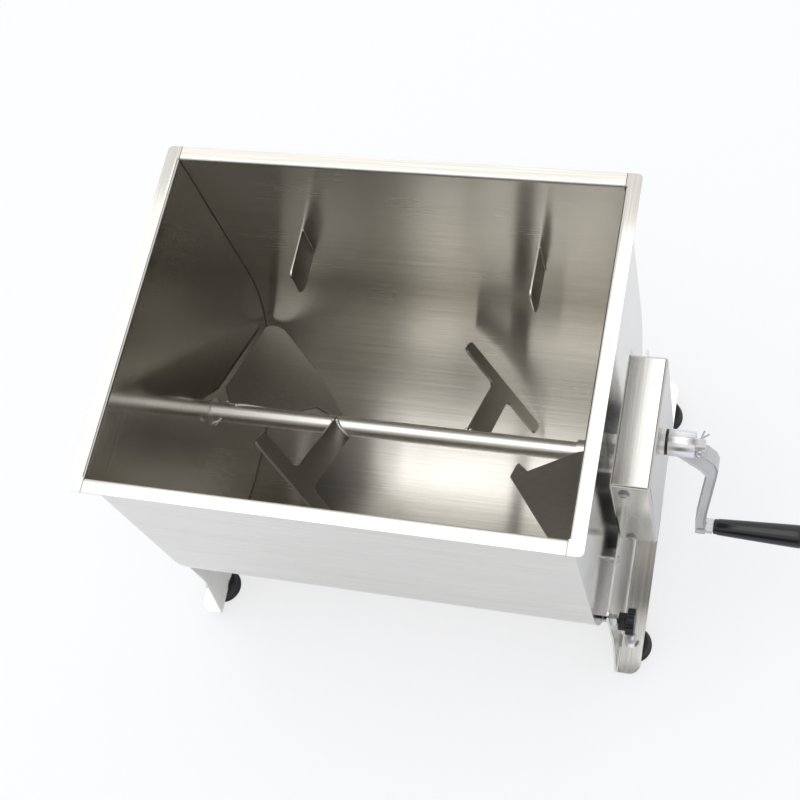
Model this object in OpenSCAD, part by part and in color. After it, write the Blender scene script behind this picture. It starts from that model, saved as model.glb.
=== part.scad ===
// Hand-cranked meat mixer with a tilting steel tank on two folded side stands.
// X runs along the mixing shaft, the crank is on the +X side, -Y is the front,
// Z is up. The origin is on the table, below the middle of the whole object's box.

/* [Tank] */
// Length of the trough between its end plates
tank_len = 432; // [400:1:500]
// Inside radius of the trough's round bottom
trough_r = 166; // [162:1:172]
// Height of the rim above the mixing shaft
rim_rise = 235; // [220:1:260]
// Thickness of the tank's sheet steel
sheet_t = 1.5; // [1:0.1:2]
// Width of the rim flange, from the inside face of its wall
rim_w = 14; // [10:0.5:18]
// Outside radius of the bend between a wall and its rim flange
rim_bend_r = 3.5; // [2.6:0.1:5]
// Radius of the rim's outer corners
rim_corner_r = 5; // [2:0.5:8]

/* [Baffles] */
// Distance of each baffle from the middle of the tank
baffle_x = 123.5; // [118:0.5:125]
// How far a baffle stands out from the back wall
baffle_w = 54; // [40:1:60]
// Height of a baffle
baffle_h = 48; // [36:1:60]
// Drop from the rim to a baffle's top edge
baffle_drop = 121; // [100:1:130]
// Radius of a baffle's lower free corner
baffle_corner_r = 16; // [6:1:24]
// Thickness of a baffle
baffle_t = 2; // [1.5:0.1:3]

/* [Stand] */
// Height of the mixing shaft above the table
shaft_h = 210; // [206:1:230]
// Gap between a tank end plate and its stand
stand_gap = 7.5; // [6.5:0.1:10]
// Thickness of a stand's sheet steel
stand_t = 2; // [1.5:0.1:3]
// Width of a stand's base flange, outside its upright
base_w = 24; // [22:0.5:32]
// Outside radius of the bend at the foot of an upright
base_bend_r = 4; // [3.2:0.1:5]
// Depth of an upright in front of the shaft, above its flare
plate_half = 156; // [150:1:162]
// Depth of an upright behind the shaft, above its flare
plate_back = 139; // [134:1:162]
// Half depth of an upright at its base flange
base_half = 171.5; // [165:0.5:180]
// Height at which an upright's edges start to flare
flare_h = 93; // [70:1:110]
// Height of an upright's shoulder
shoulder_h = 175; // [165:1:185]
// Radius of the shoulder's corners
shoulder_r = 8; // [4:1:16]
// Radius of the left stand's round head
head_r = 46; // [38:1:56]
// Radius of the base flange's outer corners
base_corner_r = 12; // [6:1:18]
// Width of the cross tie below the tank
tie_w = 90; // [70:1:120]
// Depth of the cross tie's folded edges, below its web
tie_h = 12; // [8:0.5:14]
// Height of the cross tie's end tabs, above its web
tie_tab_h = 28; // [22:1:36]

/* [Feet] */
// Height of a rubber foot
foot_h = 18.5; // [14:0.5:22]
// Diameter of a rubber foot
foot_d = 41; // [34:1:46]
// Distance of the feet from the shaft's plane
foot_y = 135; // [125:1:145]
// Distance of a foot's bolt from its stand's upright
foot_reach = 11.5; // [11:0.5:14]
// Diameter of a foot's bolt
foot_bolt_d = 8; // [6:0.5:10]
// Width across the flats of a foot's nut
foot_nut_af = 13; // [13:0.5:18]

/* [Mixing shaft] */
// Outside diameter of the mixing tube
tube_d = 20; // [18:0.5:24]
// Wall of the mixing tube
tube_t = 2; // [1.5:0.1:2.5]
// Gap between the tube's left end and the end plate
tube_end_gap = 2; // [1:0.5:4]
// Outside diameter of the drive collar
collar_d = 25; // [24:0.5:28]
// Length of the drive collar
collar_len = 37.5; // [32:0.5:44]
// How far the tube enters the drive collar
collar_grip = 20; // [16:1:22]
// Diameter of the pins and split pins through the shaft
cross_pin_d = 3; // [2.5:0.1:4]

/* [Paddles] */
// Angle of the right T paddle below the horizontal, towards the back
t_angle = -42; // [-60:1:-20]
// Pitch of a T paddle's crossbar against the shaft
t_pitch = 50; // [35:1:60]
// Distance of each T paddle from the middle of the tank
t_x = 70; // [60:1:72]
// Half length of a T paddle's crossbar
t_half = 61; // [45:1:64]
// Radius at which a T paddle's crossbar starts
t_inner = 123; // [105:1:128]
// Width of a T paddle's crossbar
t_bar_w = 23; // [16:1:25]
// Width of a T paddle's neck
t_neck_w = 25; // [18:1:30]
// Radius of the corners between a T paddle's neck and its crossbar
t_fillet = 9; // [4:1:12]
// Thickness of the paddles
paddle_t = 3; // [2.5:0.1:4]
// Angle of the left end paddle below the horizontal, towards the back
end_angle = -32; // [-45:1:-20]
// Pitch of an end paddle: how steeply it drops from its wall edge to its hook
end_pitch = 10; // [0:1:15]
// Rise of an end paddle above the shaft's middle, at its wall edge
end_rise = 12; // [8:1:14]
// Outer radius of an end paddle
end_r = 158; // [140:1:159]
// Gap between an end paddle and its end plate
end_gap = 4; // [3:0.5:8]
// Width of an end paddle at its outer edge
end_tip_w = 29; // [15:1:40]
// Reach of the right end paddle's hook from its wall edge
end_reach = 95; // [80:1:98]
// Reach of the left end paddle's hook from its wall edge
end_reach_left = 113; // [98:1:118]
// Width of the right end paddle where it meets the shaft
end_root_w = 24; // [20:1:33]
// Width of the left end paddle where it meets the shaft
end_root_left = 68; // [40:1:72]
// Width of the cut corner at an end paddle's root
root_cut_w = 14; // [12:1:18]
// Height of the cut corner at an end paddle's root, above the shaft's middle
root_cut_r = 28; // [26:1:40]
// Radius of the outer corner of the hook
hook_r_out = 48; // [44:1:60]
// Radius of the inner corner of the hook
hook_r_in = 26; // [22:1:34]
// Radius of the notch behind the hook
notch_r = 40; // [35:1:46]
// Distance of the notch from the hook's end
notch_in = 16; // [10:1:24]

/* [Bearings] */
// Outside diameter of a bearing sleeve, on which the tank tilts
sleeve_d = 30; // [28:0.5:34]
// Diameter of a bearing's bolting flange
bearing_flange_d = 58; // [54:1:62]
// Thickness of a bearing's bolting flange
bearing_flange_t = 4; // [3:0.5:5]
// Diameter of a bearing's screw circle
bearing_pcd = 44; // [42:0.5:46]
// Outside diameter of a tank trunnion ring
trunnion_d = 46; // [40:1:52]
// Outside diameter of a shaft seal
seal_d = 26; // [25:0.5:26]
// Width of a shaft seal
seal_w = 5; // [4:0.5:7]

/* [Gears] */
// Tooth module of the gear pair
gear_module = 2.5; // [2.4:0.05:2.6]
// Teeth on the mixing shaft's gear
gear_teeth = 28; // [26:1:29]
// Teeth on the crank's pinion
pinion_teeth = 14; // [12:1:15]
// Face width of both gears
gear_w = 12; // [8:0.5:14]
// Distance from a bearing flange to the gears
gear_gap = 5; // [4:0.5:6]
// Bore of the mixing shaft's gear
gear_bore = 16; // [14:0.5:17]
// Diameter of the crank shaft
crank_shaft_d = 12; // [10:0.5:13]
// Thinning of the teeth for backlash, as an angle on a one-tooth pitch of 360 degrees
backlash_turn = 6; // [4:1:14]

/* [Gear cover] */
// Depth of the cover, out from the stand
cover_depth = 35; // [34:0.5:46]
// Width of the cover
cover_w = 134; // [120:1:140]
// Height of the cover
cover_h = 154; // [150:1:160]
// Height of the cover's lower edge above the table
cover_z = 154.5; // [150:0.5:158]
// Thickness of the cover's sheet
cover_t = 1.5; // [1:0.1:2]
// Outside radius of the cover's long edges
cover_r = 3; // [2.2:0.1:6]
// Drop of the upper cover screws from the cover's top
screw_drop = 19; // [14:1:30]
// Rise of the lower cover screws from the cover's lower edge
screw_rise = 12; // [10:1:18]

/* [Crank] */
// Radius of the crank, from its shaft to the grip
crank_r = 165; // [140:1:175]
// Swing of the hanging crank towards the front
crank_angle = 8; // [0:1:20]
// Diameter of the crank's hub
hub_d = 26; // [22:0.5:30]
// Length of the crank's hub
hub_len = 26; // [20:0.5:30]
// Reach of the crank's elbow beyond the hub's end
elbow_out = 21; // [12:0.5:26]
// Thickness of the crank's arm
arm_t = 10; // [8:0.5:12]
// Width of the crank's arm
arm_w = 16; // [14:0.5:18]
// Length of the grip
grip_len = 92; // [70:1:110]
// Diameter of the grip at the crank
grip_d_in = 17; // [15:0.5:20]
// Diameter of the grip at its free end
grip_d_out = 24; // [20:0.5:28]
// Diameter of the bolt that carries the grip
handle_bolt_d = 8; // [6:0.5:9]
// Width across the flats of the handle's nut
handle_nut_af = 14; // [13:0.5:16]
// Thickness of the handle's nut
handle_nut_h = 7.5; // [6:0.5:9]

/* [Tilt lock] */
// Distance of the lock's screw in front of the shaft
lock_y = 146; // [142:0.5:147]
// Height of the lock's screw above the table
lock_z = 135; // [130:1:155]
// Diameter of the lock's screw
lock_d = 6; // [5:0.5:8]
// Width across the flats of the lock's nut
lock_nut_af = 10.5; // [10:0.5:14]
// Thickness of the lock's nut
lock_nut_h = 5; // [4:0.5:8]
// Diameter of the star knob, over its lobes
knob_d = 29; // [26:1:36]
// Diameter of the star knob's stem
knob_stem_d = 18; // [14:0.5:20]
// Length of the star knob's stem
knob_stem_h = 8; // [6:0.5:12]
// Thickness of the star knob's head
knob_head_h = 8; // [6:0.5:12]
// Gap between the lock's nut and the star knob
knob_gap = 1.5; // [0.5:0.5:4]
// Distance of the tilt stop in front of the shaft
stop_y = 93; // [85:1:105]
// Depth of the tilt stop below the shoulder
stop_drop = 5; // [5:0.5:8]
// Diameter of the tilt stop
stop_d = 3.5; // [3:0.5:8]

/* [Clearances] */
// Radial running clearance of a shaft in its bearing
run_clear = 0.05; // [0.02:0.01:0.08]
// Radial clearance of a pressed or pinned piece
fit_clear = 0.02; // [0.01:0.01:0.04]
// Clear gap between pieces that pass each other
pass_clear = 0.4; // [0.3:0.1:0.6]
// Radial clearance of a screw in its hole
screw_clear = 0.2; // [0.1:0.05:0.4]

/* [Hidden] */
$fn = 64;
pressure_angle = 20;

// Places along the shaft
in_x = tank_len / 2;
wall_x = in_x + sheet_t;
stand_in = wall_x + stand_gap;
stand_out = stand_in + stand_t;
bearing_out = stand_out + bearing_flange_t;
gear_x0 = bearing_out + gear_gap;
gear_x1 = gear_x0 + gear_w;
cover_out = stand_out + cover_depth;
foot_x = stand_out + foot_reach;

// Heights
rim_h = shaft_h + rim_rise;
base_h = foot_h;
base_top = base_h + stand_t;
centre_gap = gear_module * (gear_teeth + pinion_teeth) / 2;
crank_h = shaft_h + centre_gap;

// Outlines of the tank
rim_half_x = in_x + rim_w;
rim_half_y = trough_r + rim_w;
out_r = trough_r + sheet_t;

// Shaft train
tube_r = tube_d / 2;
bore_r = tube_r - tube_t;
tube_x0 = -(in_x - tube_end_gap);
collar_x1 = in_x - tube_end_gap;
collar_x0 = collar_x1 - collar_len;
tube_x1 = collar_x0 + collar_grip;
spigot_len = 34;
stub_head_r = 14;
stub_head_t = 4;
stub_pin_in = 9;
stub_pin_x = tube_x0 + stub_pin_in;
stub_pin_tilt = 20;
key_w = 5;
key_deep = 2.5;
gear_nut_h = 8;
gear_nut_af = 19;
gear_thread_r = 6;
gear_thread_len = 10;

// Screws and bushes
bearing_screw_r = 2.5;
bearing_screw_head_r = 4.2;
bearing_screw_head_h = 3;
cover_screw_r = 2.5;
cover_screw_head_r = 5.6;
cover_screw_head_h = 3.4;
cover_screw_reach = 10;
cover_screw_x = stand_out + cover_screw_reach;
cover_screw_zs = [cover_z + screw_rise, cover_z + cover_h - screw_drop];
tab_len = 17;
tab_h = 20;
bush_r = crank_shaft_d / 2 + 3;
bush_flange_r = bush_r + 5;
bush_flange_t = 3;
cover_bush_ring_t = 4;
cover_bush_in = 4.5;
tie_bolt_r = 3;
tie_bolt_head_r = 5;
tie_bolt_head_h = 4;
tie_nut_h = 4;
tie_bolt_y = 20;
tie_bolt_z = base_top + tie_tab_h * 0.6;
tie_t = 2;

// Crank train
washer_x0 = cover_out + cover_bush_ring_t + pass_clear / 2;
washer_t = 2;
hub_x0 = washer_x0 + washer_t + pass_clear / 2;
hub_x1 = hub_x0 + hub_len;
split_x = hub_x1 + cross_pin_d + 1;
crank_shaft_end = split_x + 5;
flat_deep = 1;
pinion_hub_r = 11;
pinion_hub_w = 5;
grub_r = 2;
boss_r = arm_w / 2 + 1.5;
boss_x1 = hub_x1 + arm_t;
boss_x0 = boss_x1 - arm_t;
nut_x1 = boss_x1 + handle_nut_h;
grip_x0 = nut_x1 + pass_clear;
grip_x1 = grip_x0 + grip_len;
bolt_head_r = 6.5;
bolt_head_h = 4;
grip_recess = bolt_head_h + 1;
grip_edge_r = 2.5;

// Tilt lock and stop
knob_x0 = stand_out + lock_nut_h + knob_gap;
knob_x1 = knob_x0 + knob_stem_h;
knob_x2 = knob_x1 + knob_head_h;
lobe_count = 5;
lobe_r = knob_d * 0.17;
knob_core_r = knob_d / 2 - lobe_r;
stud_in_knob = knob_stem_h + knob_head_h / 2;
stop_z = shoulder_h - stop_drop;
stop_head_t = 1.5;
stop_tip_gap = 1.5;
tab_size = [stand_gap - 2.5, 5, 5];

// Middle of the whole object's length, from the left feet to the grip's end
frame_x = (grip_x1 - max(foot_x + foot_d / 2, stand_out + base_w)) / 2;

// Draws a YZ outline as a plate between two places on the X axis
module plate_x(x0, x1) {
    translate([x0, 0, 0]) rotate([90, 0, 90]) linear_extrude(x1 - x0) children();
}

// Draws an XZ outline as a plate between two places on the Y axis
module plate_y(y0, y1) {
    translate([0, y1, 0]) rotate([90, 0, 0]) linear_extrude(y1 - y0) children();
}

// Round bar along X
module rod_x(x0, x1, r) {
    translate([x0, 0, 0]) rotate([0, 90, 0]) cylinder(h = x1 - x0, r = r);
}

// Hexagon prism along X, given its width across the flats
module hex_x(x0, x1, af) {
    translate([x0, 0, 0]) rotate([0, 90, 0]) cylinder(h = x1 - x0, r = af / sqrt(3), $fn = 6);
}

// The finished pieces stand with the middle of their common box over the origin
module placed() translate([-frame_x, 0, 0]) children();
module at_shaft() translate([0, 0, shaft_h]) children();
module at_crank() translate([0, 0, crank_h]) children();
module on_left() mirror([1, 0, 0]) children();
module at_lock() translate([0, -lock_y, lock_z]) children();

// The crank hangs from its shaft, swung a little to the front
module on_crank() at_crank() rotate([-crank_angle, 0, 0]) children();
module at_grip() on_crank() translate([0, 0, -crank_r]) children();

// Outline of the trough's section: round below the shaft, straight above it
module u_outline(r, rise) {
    difference() {
        circle(r);
        translate([-2 * r, 0]) square([4 * r, 2 * r]);
    }
    translate([-r, 0]) square([2 * r, rise]);
}

// Section of a wall's bend and rim flange, outwards from the wall's inside face
module rim_section() {
    translate([rim_bend_r, rim_rise - rim_bend_r]) intersection() {
        difference() {
            circle(rim_bend_r);
            circle(rim_bend_r - sheet_t);
        }
        translate([-rim_bend_r, 0]) square(rim_bend_r);
    }
    translate([rim_bend_r, rim_rise - sheet_t]) square([rim_w - rim_bend_r, sheet_t]);
}

// Tank

module trough() {
    color("gainsboro") placed() at_shaft() {
        plate_x(-in_x, in_x) difference() {
            u_outline(out_r, rim_rise - rim_bend_r);
            u_outline(trough_r, rim_rise);
        }
        for (side = [0, 1]) mirror([0, side, 0])
            plate_x(-in_x, in_x) translate([trough_r, 0]) rim_section();
    }
}

// Flat part of an end plate's rim flange, with its two outer corners rounded
module end_flange() {
    c = rim_corner_r;
    difference() {
        translate([in_x, -rim_half_y]) square([rim_w, 2 * rim_half_y]);
        for (s = [-1, 1]) difference() {
            translate([rim_half_x - c, s * rim_half_y - (s > 0 ? c : 0)]) square(c);
            translate([rim_half_x - c, s * (rim_half_y - c)]) circle(c);
        }
        translate([in_x - 1, -trough_r]) square([rim_bend_r + 1, 2 * trough_r]);
    }
}

module end_plate() {
    color("gainsboro") at_shaft() {
        difference() {
            plate_x(in_x, wall_x) u_outline(out_r, rim_rise - rim_bend_r);
            rod_x(in_x - 1, wall_x + 1, sleeve_d / 2 + pass_clear);
        }
        for (s = [-1, 1]) translate([in_x, s > 0 ? trough_r : -out_r, rim_rise - rim_bend_r])
            cube([sheet_t, sheet_t, rim_bend_r - sheet_t]);
        plate_y(-trough_r, trough_r) translate([in_x, 0]) rim_section();
        translate([0, 0, rim_rise - sheet_t]) linear_extrude(sheet_t) end_flange();
    }
}
module end_plate_left() placed() on_left() end_plate();
module end_plate_right() placed() end_plate();

module baffle() {
    r = baffle_corner_r;
    color("silver") translate([-baffle_t / 2, 0, rim_h - baffle_drop])
        plate_x(0, baffle_t) difference() {
            translate([trough_r - baffle_w, -baffle_h]) square([baffle_w, baffle_h]);
            difference() {
                translate([trough_r - baffle_w, -baffle_h]) square(r);
                translate([trough_r - baffle_w + r, -baffle_h + r]) circle(r);
            }
        }
}
module baffle_left() placed() translate([-baffle_x, 0, 0]) baffle();
module baffle_right() placed() translate([baffle_x, 0, 0]) baffle();

// Ring welded to an end plate, which turns on the bearing's sleeve
module trunnion() {
    color("silver") at_shaft() difference() {
        rod_x(wall_x, stand_in - 1, trunnion_d / 2);
        rod_x(wall_x - 1, stand_in, sleeve_d / 2 + run_clear);
    }
}
module trunnion_left() placed() on_left() trunnion();
module trunnion_right() placed() trunnion();

// Block on the tank that meets the stop pin from below when the tank is upright
module tilt_stop_tab() {
    color("silver") placed()
        translate([wall_x, -stop_y - tab_size[1] / 2,
                   stop_z - stop_d / 2 - pass_clear - tab_size[2]]) cube(tab_size);
}

// Stand

// Outline of an upright up to its shoulder
module upright_outline() {
    r = shoulder_r;
    z0 = base_h + base_bend_r;
    difference() {
        polygon([
            [-base_half, z0], [base_half, z0], [plate_back, flare_h],
            [plate_back, shoulder_h], [-plate_half, shoulder_h], [-plate_half, flare_h]
        ]);
        difference() {
            translate([plate_back - r, shoulder_h - r]) square(r);
            translate([plate_back - r, shoulder_h - r]) circle(r);
        }
        difference() {
            translate([-plate_half, shoulder_h - r]) square(r);
            translate([-plate_half + r, shoulder_h - r]) circle(r);
        }
    }
}

// Base flange with its two outer corners rounded, seen from above
module base_outline() {
    c = base_corner_r;
    x0 = stand_in + base_bend_r;
    x1 = stand_out + base_w;
    difference() {
        translate([x0, -base_half]) square([x1 - x0, 2 * base_half]);
        for (s = [-1, 1]) difference() {
            translate([x1 - c, s * base_half - (s > 0 ? c : 0)]) square(c);
            translate([x1 - c, s * (base_half - c)]) circle(c);
        }
    }
}

// Quarter-round bend between an upright and its base flange
module base_bend() {
    plate_y(-base_half, base_half)
        translate([stand_in + base_bend_r, base_h + base_bend_r]) intersection() {
            difference() {
                circle(base_bend_r);
                circle(base_bend_r - stand_t);
            }
            translate([-base_bend_r, -base_bend_r]) square(base_bend_r);
        }
}

// Holes for the bearing, its screws, the feet and the cross tie
module stand_holes() {
    at_shaft() {
        rod_x(stand_in - 1, stand_out + 1, sleeve_d / 2 + fit_clear);
        bearing_screw_places()
            rod_x(stand_in - 1, stand_out + 1, bearing_screw_r + screw_clear);
    }
    for (s = [-1, 1]) {
        translate([foot_x, s * foot_y, base_h - 1])
            cylinder(h = stand_t + 2, d = foot_bolt_d + 2 * screw_clear);
        translate([0, s * tie_bolt_y, tie_bolt_z])
            rod_x(stand_in - 1, stand_out + 1, tie_bolt_r + screw_clear);
    }
}

module stand_body() {
    difference() {
        union() {
            plate_x(stand_in, stand_out) union() {
                upright_outline();
                children(0);
            }
            base_bend();
            translate([0, 0, base_h]) linear_extrude(stand_t) base_outline();
        }
        stand_holes();
    }
}

module stand_left() {
    color("silver") placed() on_left() stand_body() union() {
        translate([0, shaft_h]) circle(head_r);
        translate([-head_r, shoulder_h - shoulder_r])
            square([2 * head_r, shaft_h - shoulder_h + shoulder_r]);
    }
}

// Tab bent out of the right stand, which takes one of the cover's screws
module cover_tab(z) {
    difference() {
        translate([stand_out, -cover_w / 2 + cover_t, z - tab_h / 2])
            cube([tab_len, stand_t, tab_h]);
        cover_screw_hole(z);
    }
}

module cover_screw_hole(z) {
    translate([cover_screw_x, -cover_w / 2 - 1, z]) rotate([-90, 0, 0])
        cylinder(h = cover_t + stand_t + 2, r = cover_screw_r + fit_clear);
}

// The right stand's upper part stands inside the cover, whose edges pass over it
module stand_right() {
    tower_half = cover_w / 2 - cover_t;
    tower_top = cover_z + cover_h - cover_t - pass_clear;
    color("silver") placed() {
        difference() {
            stand_body() translate([-tower_half, shoulder_h - shoulder_r])
                square([2 * tower_half, tower_top - shoulder_h + shoulder_r]);
            at_crank() rod_x(stand_in - 1, stand_out + 1, bush_r + fit_clear);
            at_lock() rod_x(stand_in - 1, stand_out + 1, lock_d / 2 + screw_clear);
            translate([0, -stop_y, stop_z])
                rod_x(stand_in - 1, stand_out + 1, stop_d / 2 + fit_clear);
        }
        for (side = [0, 1], z = cover_screw_zs) mirror([0, side, 0]) cover_tab(z);
    }
}

// Section of the cross tie: a flat web with an edge folded down on each side
module tie_section() {
    translate([-tie_w / 2, base_top - tie_t]) square([tie_w, tie_t]);
    for (y = [-tie_w / 2, tie_w / 2 - tie_t])
        translate([y, base_top - tie_h]) square([tie_t, tie_h]);
}

// Folded channel that ties the two stands together below the tank, with an upright tab at each end
module cross_tie() {
    color("silver") placed() difference() {
        union() {
            plate_x(-stand_in, stand_in) tie_section();
            for (side = [0, 1]) mirror([side, 0, 0])
                translate([stand_in - tie_t, -tie_w / 2, base_top - tie_t])
                    cube([tie_t, tie_w, tie_tab_h + tie_t]);
        }
        for (s = [-1, 1], side = [0, 1]) mirror([side, 0, 0])
            translate([0, s * tie_bolt_y, tie_bolt_z])
                rod_x(stand_in - tie_t - 1, stand_in + 1, tie_bolt_r + screw_clear);
    }
}

module tie_bolt_places() {
    for (s = [-1, 1], side = [0, 1]) mirror([side, 0, 0])
        translate([0, s * tie_bolt_y, tie_bolt_z]) children();
}

module tie_bolts() {
    color("lightgray") placed() tie_bolt_places() {
        hex_x(stand_out, stand_out + tie_bolt_head_h, 2 * tie_bolt_head_r);
        rod_x(stand_in - tie_t - tie_nut_h, stand_out, tie_bolt_r);
    }
}

module tie_nuts() {
    x1 = stand_in - tie_t;
    color("lightgray") placed() tie_bolt_places() difference() {
        hex_x(x1 - tie_nut_h, x1, 2 * tie_bolt_head_r);
        rod_x(x1 - tie_nut_h - 1, x1 + 1, tie_bolt_r + fit_clear);
    }
}

// Bearings

module bearing_screw_places() {
    for (a = [45:90:315]) rotate([a, 0, 0]) translate([0, bearing_pcd / 2, 0]) children();
}

// Flanged sleeve: the shaft runs inside it and the tank tilts on its outside
module bearing() {
    color("darkgray") at_shaft() difference() {
        union() {
            rod_x(stand_out, bearing_out, bearing_flange_d / 2);
            rod_x(in_x, stand_out, sleeve_d / 2);
        }
        rod_x(in_x - 1, bearing_out + 1, tube_r + run_clear);
        rod_x(bearing_out - seal_w, bearing_out + 1, seal_d / 2 + fit_clear);
        bearing_screw_places() rod_x(stand_out - 1, bearing_out + 1, bearing_screw_r + screw_clear);
    }
}
module bearing_left() placed() on_left() bearing();
module bearing_right() placed() bearing();

// Button-head screw along X, with its head outwards
module bearing_screw() {
    rod_x(stand_in, bearing_out, bearing_screw_r);
    rod_x(bearing_out, bearing_out + bearing_screw_head_h, bearing_screw_head_r);
}

module bearing_screws() {
    color("lightgray") placed() for (side = [0, 1]) mirror([side, 0, 0])
        at_shaft() bearing_screw_places() bearing_screw();
}

module seal() {
    color("black") at_shaft() difference() {
        rod_x(bearing_out - seal_w, bearing_out, seal_d / 2);
        rod_x(bearing_out - seal_w - 1, bearing_out + 1, tube_r + run_clear);
    }
}
module seal_left() placed() on_left() seal();
module seal_right() placed() seal();

// Gear cover

// Outline of the cover's side, with its outer edges rounded
module cover_side(inset) {
    r = cover_r - inset;
    x1 = cover_out - inset;
    z0 = cover_z + inset;
    z1 = cover_z + cover_h - inset;
    difference() {
        translate([stand_out, z0]) square([x1 - stand_out, z1 - z0]);
        difference() {
            translate([x1 - r, z0]) square(r);
            translate([x1 - r, z0 + r]) circle(r);
        }
        difference() {
            translate([x1 - r, z1 - r]) square(r);
            translate([x1 - r, z1 - r]) circle(r);
        }
    }
}

// Folded box, open towards the stand; above the shoulder its edges pass over the stand's upper part
module gear_cover() {
    half = cover_w / 2;
    lip_z = shoulder_h + pass_clear;
    color("silver") placed() difference() {
        union() {
            plate_y(-half, half) cover_side(0);
            translate([stand_in, -half, lip_z]) cube([stand_t + 1, cover_w, cover_z + cover_h - lip_z]);
        }
        translate([-1, 0, 0]) plate_y(-half + cover_t, half - cover_t) cover_side(cover_t);
        plate_y(-half + cover_t, half - cover_t) cover_side(cover_t);
        translate([stand_in - 1, -half + cover_t, cover_z + cover_r])
            cube([stand_t + 2, cover_w - 2 * cover_t, cover_h - cover_r - cover_t]);
        at_crank() rod_x(stand_out, cover_out + 1, bush_r + fit_clear);
        for (side = [0, 1], z = cover_screw_zs) mirror([0, side, 0]) cover_screw_hole(z);
    }
}

// Pan-head screw with a low dome, along Y from the front of the cover
module cover_screw() {
    rotate([-90, 0, 0]) cylinder(h = cover_t + stand_t + 1, r = cover_screw_r);
    rotate([90, 0, 0]) difference() {
        intersection() {
            cylinder(h = cover_screw_head_h, r = cover_screw_head_r);
            translate([0, 0, cover_screw_head_h - 2 * cover_screw_head_r])
                sphere(r = 2 * cover_screw_head_r);
        }
        for (turn = [0, 90]) rotate([0, 0, turn])
            translate([-cover_screw_r, -0.5, cover_screw_head_h - 1.2])
                cube([2 * cover_screw_r, 1, 2]);
    }
}

module cover_screws() {
    color("lightgray") placed() for (side = [0, 1], z = cover_screw_zs) mirror([0, side, 0])
        translate([cover_screw_x, -cover_w / 2, z]) cover_screw();
}

// Flanged bush in the cover's face, for the crank shaft
module cover_bush() {
    color("darkgray") placed() at_crank() difference() {
        union() {
            rod_x(cover_out - cover_t - cover_bush_in, cover_out, bush_r);
            rod_x(cover_out, cover_out + cover_bush_ring_t, bush_flange_r - 1);
        }
        rod_x(stand_out, cover_out + 5, crank_shaft_d / 2 + run_clear);
    }
}

// Flanged bush in the right stand, for the crank shaft's inner end
module pinion_bush() {
    color("tan") placed() at_crank() difference() {
        union() {
            rod_x(stand_in, stand_out, bush_r);
            rod_x(stand_out, stand_out + bush_flange_t, bush_flange_r);
        }
        rod_x(stand_in - 1, stand_out + bush_flange_t + 1, crank_shaft_d / 2 + run_clear);
    }
}

// Feet

// Rubber foot, flat below, with a tapered side and a bore for its bolt
module foot() {
    r = foot_d / 2;
    edge = 2;
    floor_t = 4;
    color("black") difference() {
        rotate_extrude() polygon([
            [0, 0], [r - edge, 0], [r, edge], [r - 3, base_h - edge], [r - 3 - edge, base_h], [0, base_h]
        ]);
        translate([0, 0, floor_t]) cylinder(h = base_h, d = foot_bolt_d + 2 * fit_clear);
    }
}
module foot_front_left() placed() translate([-foot_x, -foot_y, 0]) foot();
module foot_front_right() placed() translate([foot_x, -foot_y, 0]) foot();
module foot_rear_left() placed() translate([-foot_x, foot_y, 0]) foot();
module foot_rear_right() placed() translate([foot_x, foot_y, 0]) foot();

foot_nut_h = 8;

module foot_places() {
    for (sx = [-1, 1], sy = [-1, 1]) translate([sx * foot_x, sy * foot_y, 0]) children();
}

module foot_bolts() {
    floor_t = 4;
    stick_out = 4;
    color("lightgray") placed() foot_places() translate([0, 0, floor_t])
        cylinder(h = base_top + foot_nut_h + stick_out - floor_t, d = foot_bolt_d);
}

module foot_nuts() {
    color("lightgray") placed() foot_places() translate([0, 0, base_top]) difference() {
        cylinder(h = foot_nut_h, r = foot_nut_af / sqrt(3), $fn = 6);
        translate([0, 0, -1]) cylinder(h = foot_nut_h + 2, d = foot_bolt_d + 2 * fit_clear);
    }
}

// Tilt lock and stop

module lock_nut() {
    color("lightgray") placed() at_lock() difference() {
        hex_x(stand_out, stand_out + lock_nut_h, lock_nut_af);
        rod_x(stand_out - 1, stand_out + lock_nut_h + 1, lock_d / 2 + run_clear);
    }
}

module lock_stud() {
    color("lightgray") placed() at_lock()
        rod_x(wall_x + pass_clear, knob_x0 + stud_in_knob, lock_d / 2);
}

module star_knob() {
    color("black") placed() at_lock() difference() {
        union() {
            rod_x(knob_x0, knob_x1, knob_stem_d / 2);
            rod_x(knob_x1, knob_x2, knob_core_r);
            for (i = [0:lobe_count - 1]) rotate([i * 360 / lobe_count, 0, 0])
                translate([0, 0, knob_core_r]) rod_x(knob_x1, knob_x2, lobe_r);
        }
        rod_x(knob_x0 - 1, knob_x0 + stud_in_knob, lock_d / 2 + fit_clear);
    }
}

module tilt_stop_pin() {
    color("lightgray") placed() translate([0, -stop_y, stop_z]) {
        rod_x(wall_x + stop_tip_gap, stand_out, stop_d / 2);
        rod_x(stand_out, stand_out + stop_head_t, stop_d / 2 + 2);
    }
}

// Mixing shaft

// Straight pin through a shaft, at one place on it
module cross_pin(x, half, r) {
    translate([x, 0, -half]) cylinder(h = 2 * half, r = r);
}

// Split pin: a round shank, an eye at its upper end and two legs below, each with its own bend
module split_pin(x, half, bends) {
    r = cross_pin_d / 2;
    eye_r = cross_pin_d * 0.8;
    wire_r = r * 0.8;
    leg_r = r * 0.6;
    leg_len = 3 * cross_pin_d;
    top = half + pass_clear + wire_r;
    low = half + pass_clear + leg_r;
    translate([x, 0, 0]) {
        translate([0, 0, -low]) cylinder(h = low + top, r = r);
        translate([0, 0, top + eye_r]) rotate([90, 0, 0])
            rotate_extrude() translate([eye_r, 0]) circle(wire_r);
        for (bend = bends) translate([0, 0, -low]) rotate(bend)
            translate([0, 0, -leg_len]) cylinder(h = leg_len, r = leg_r);
    }
}

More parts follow.
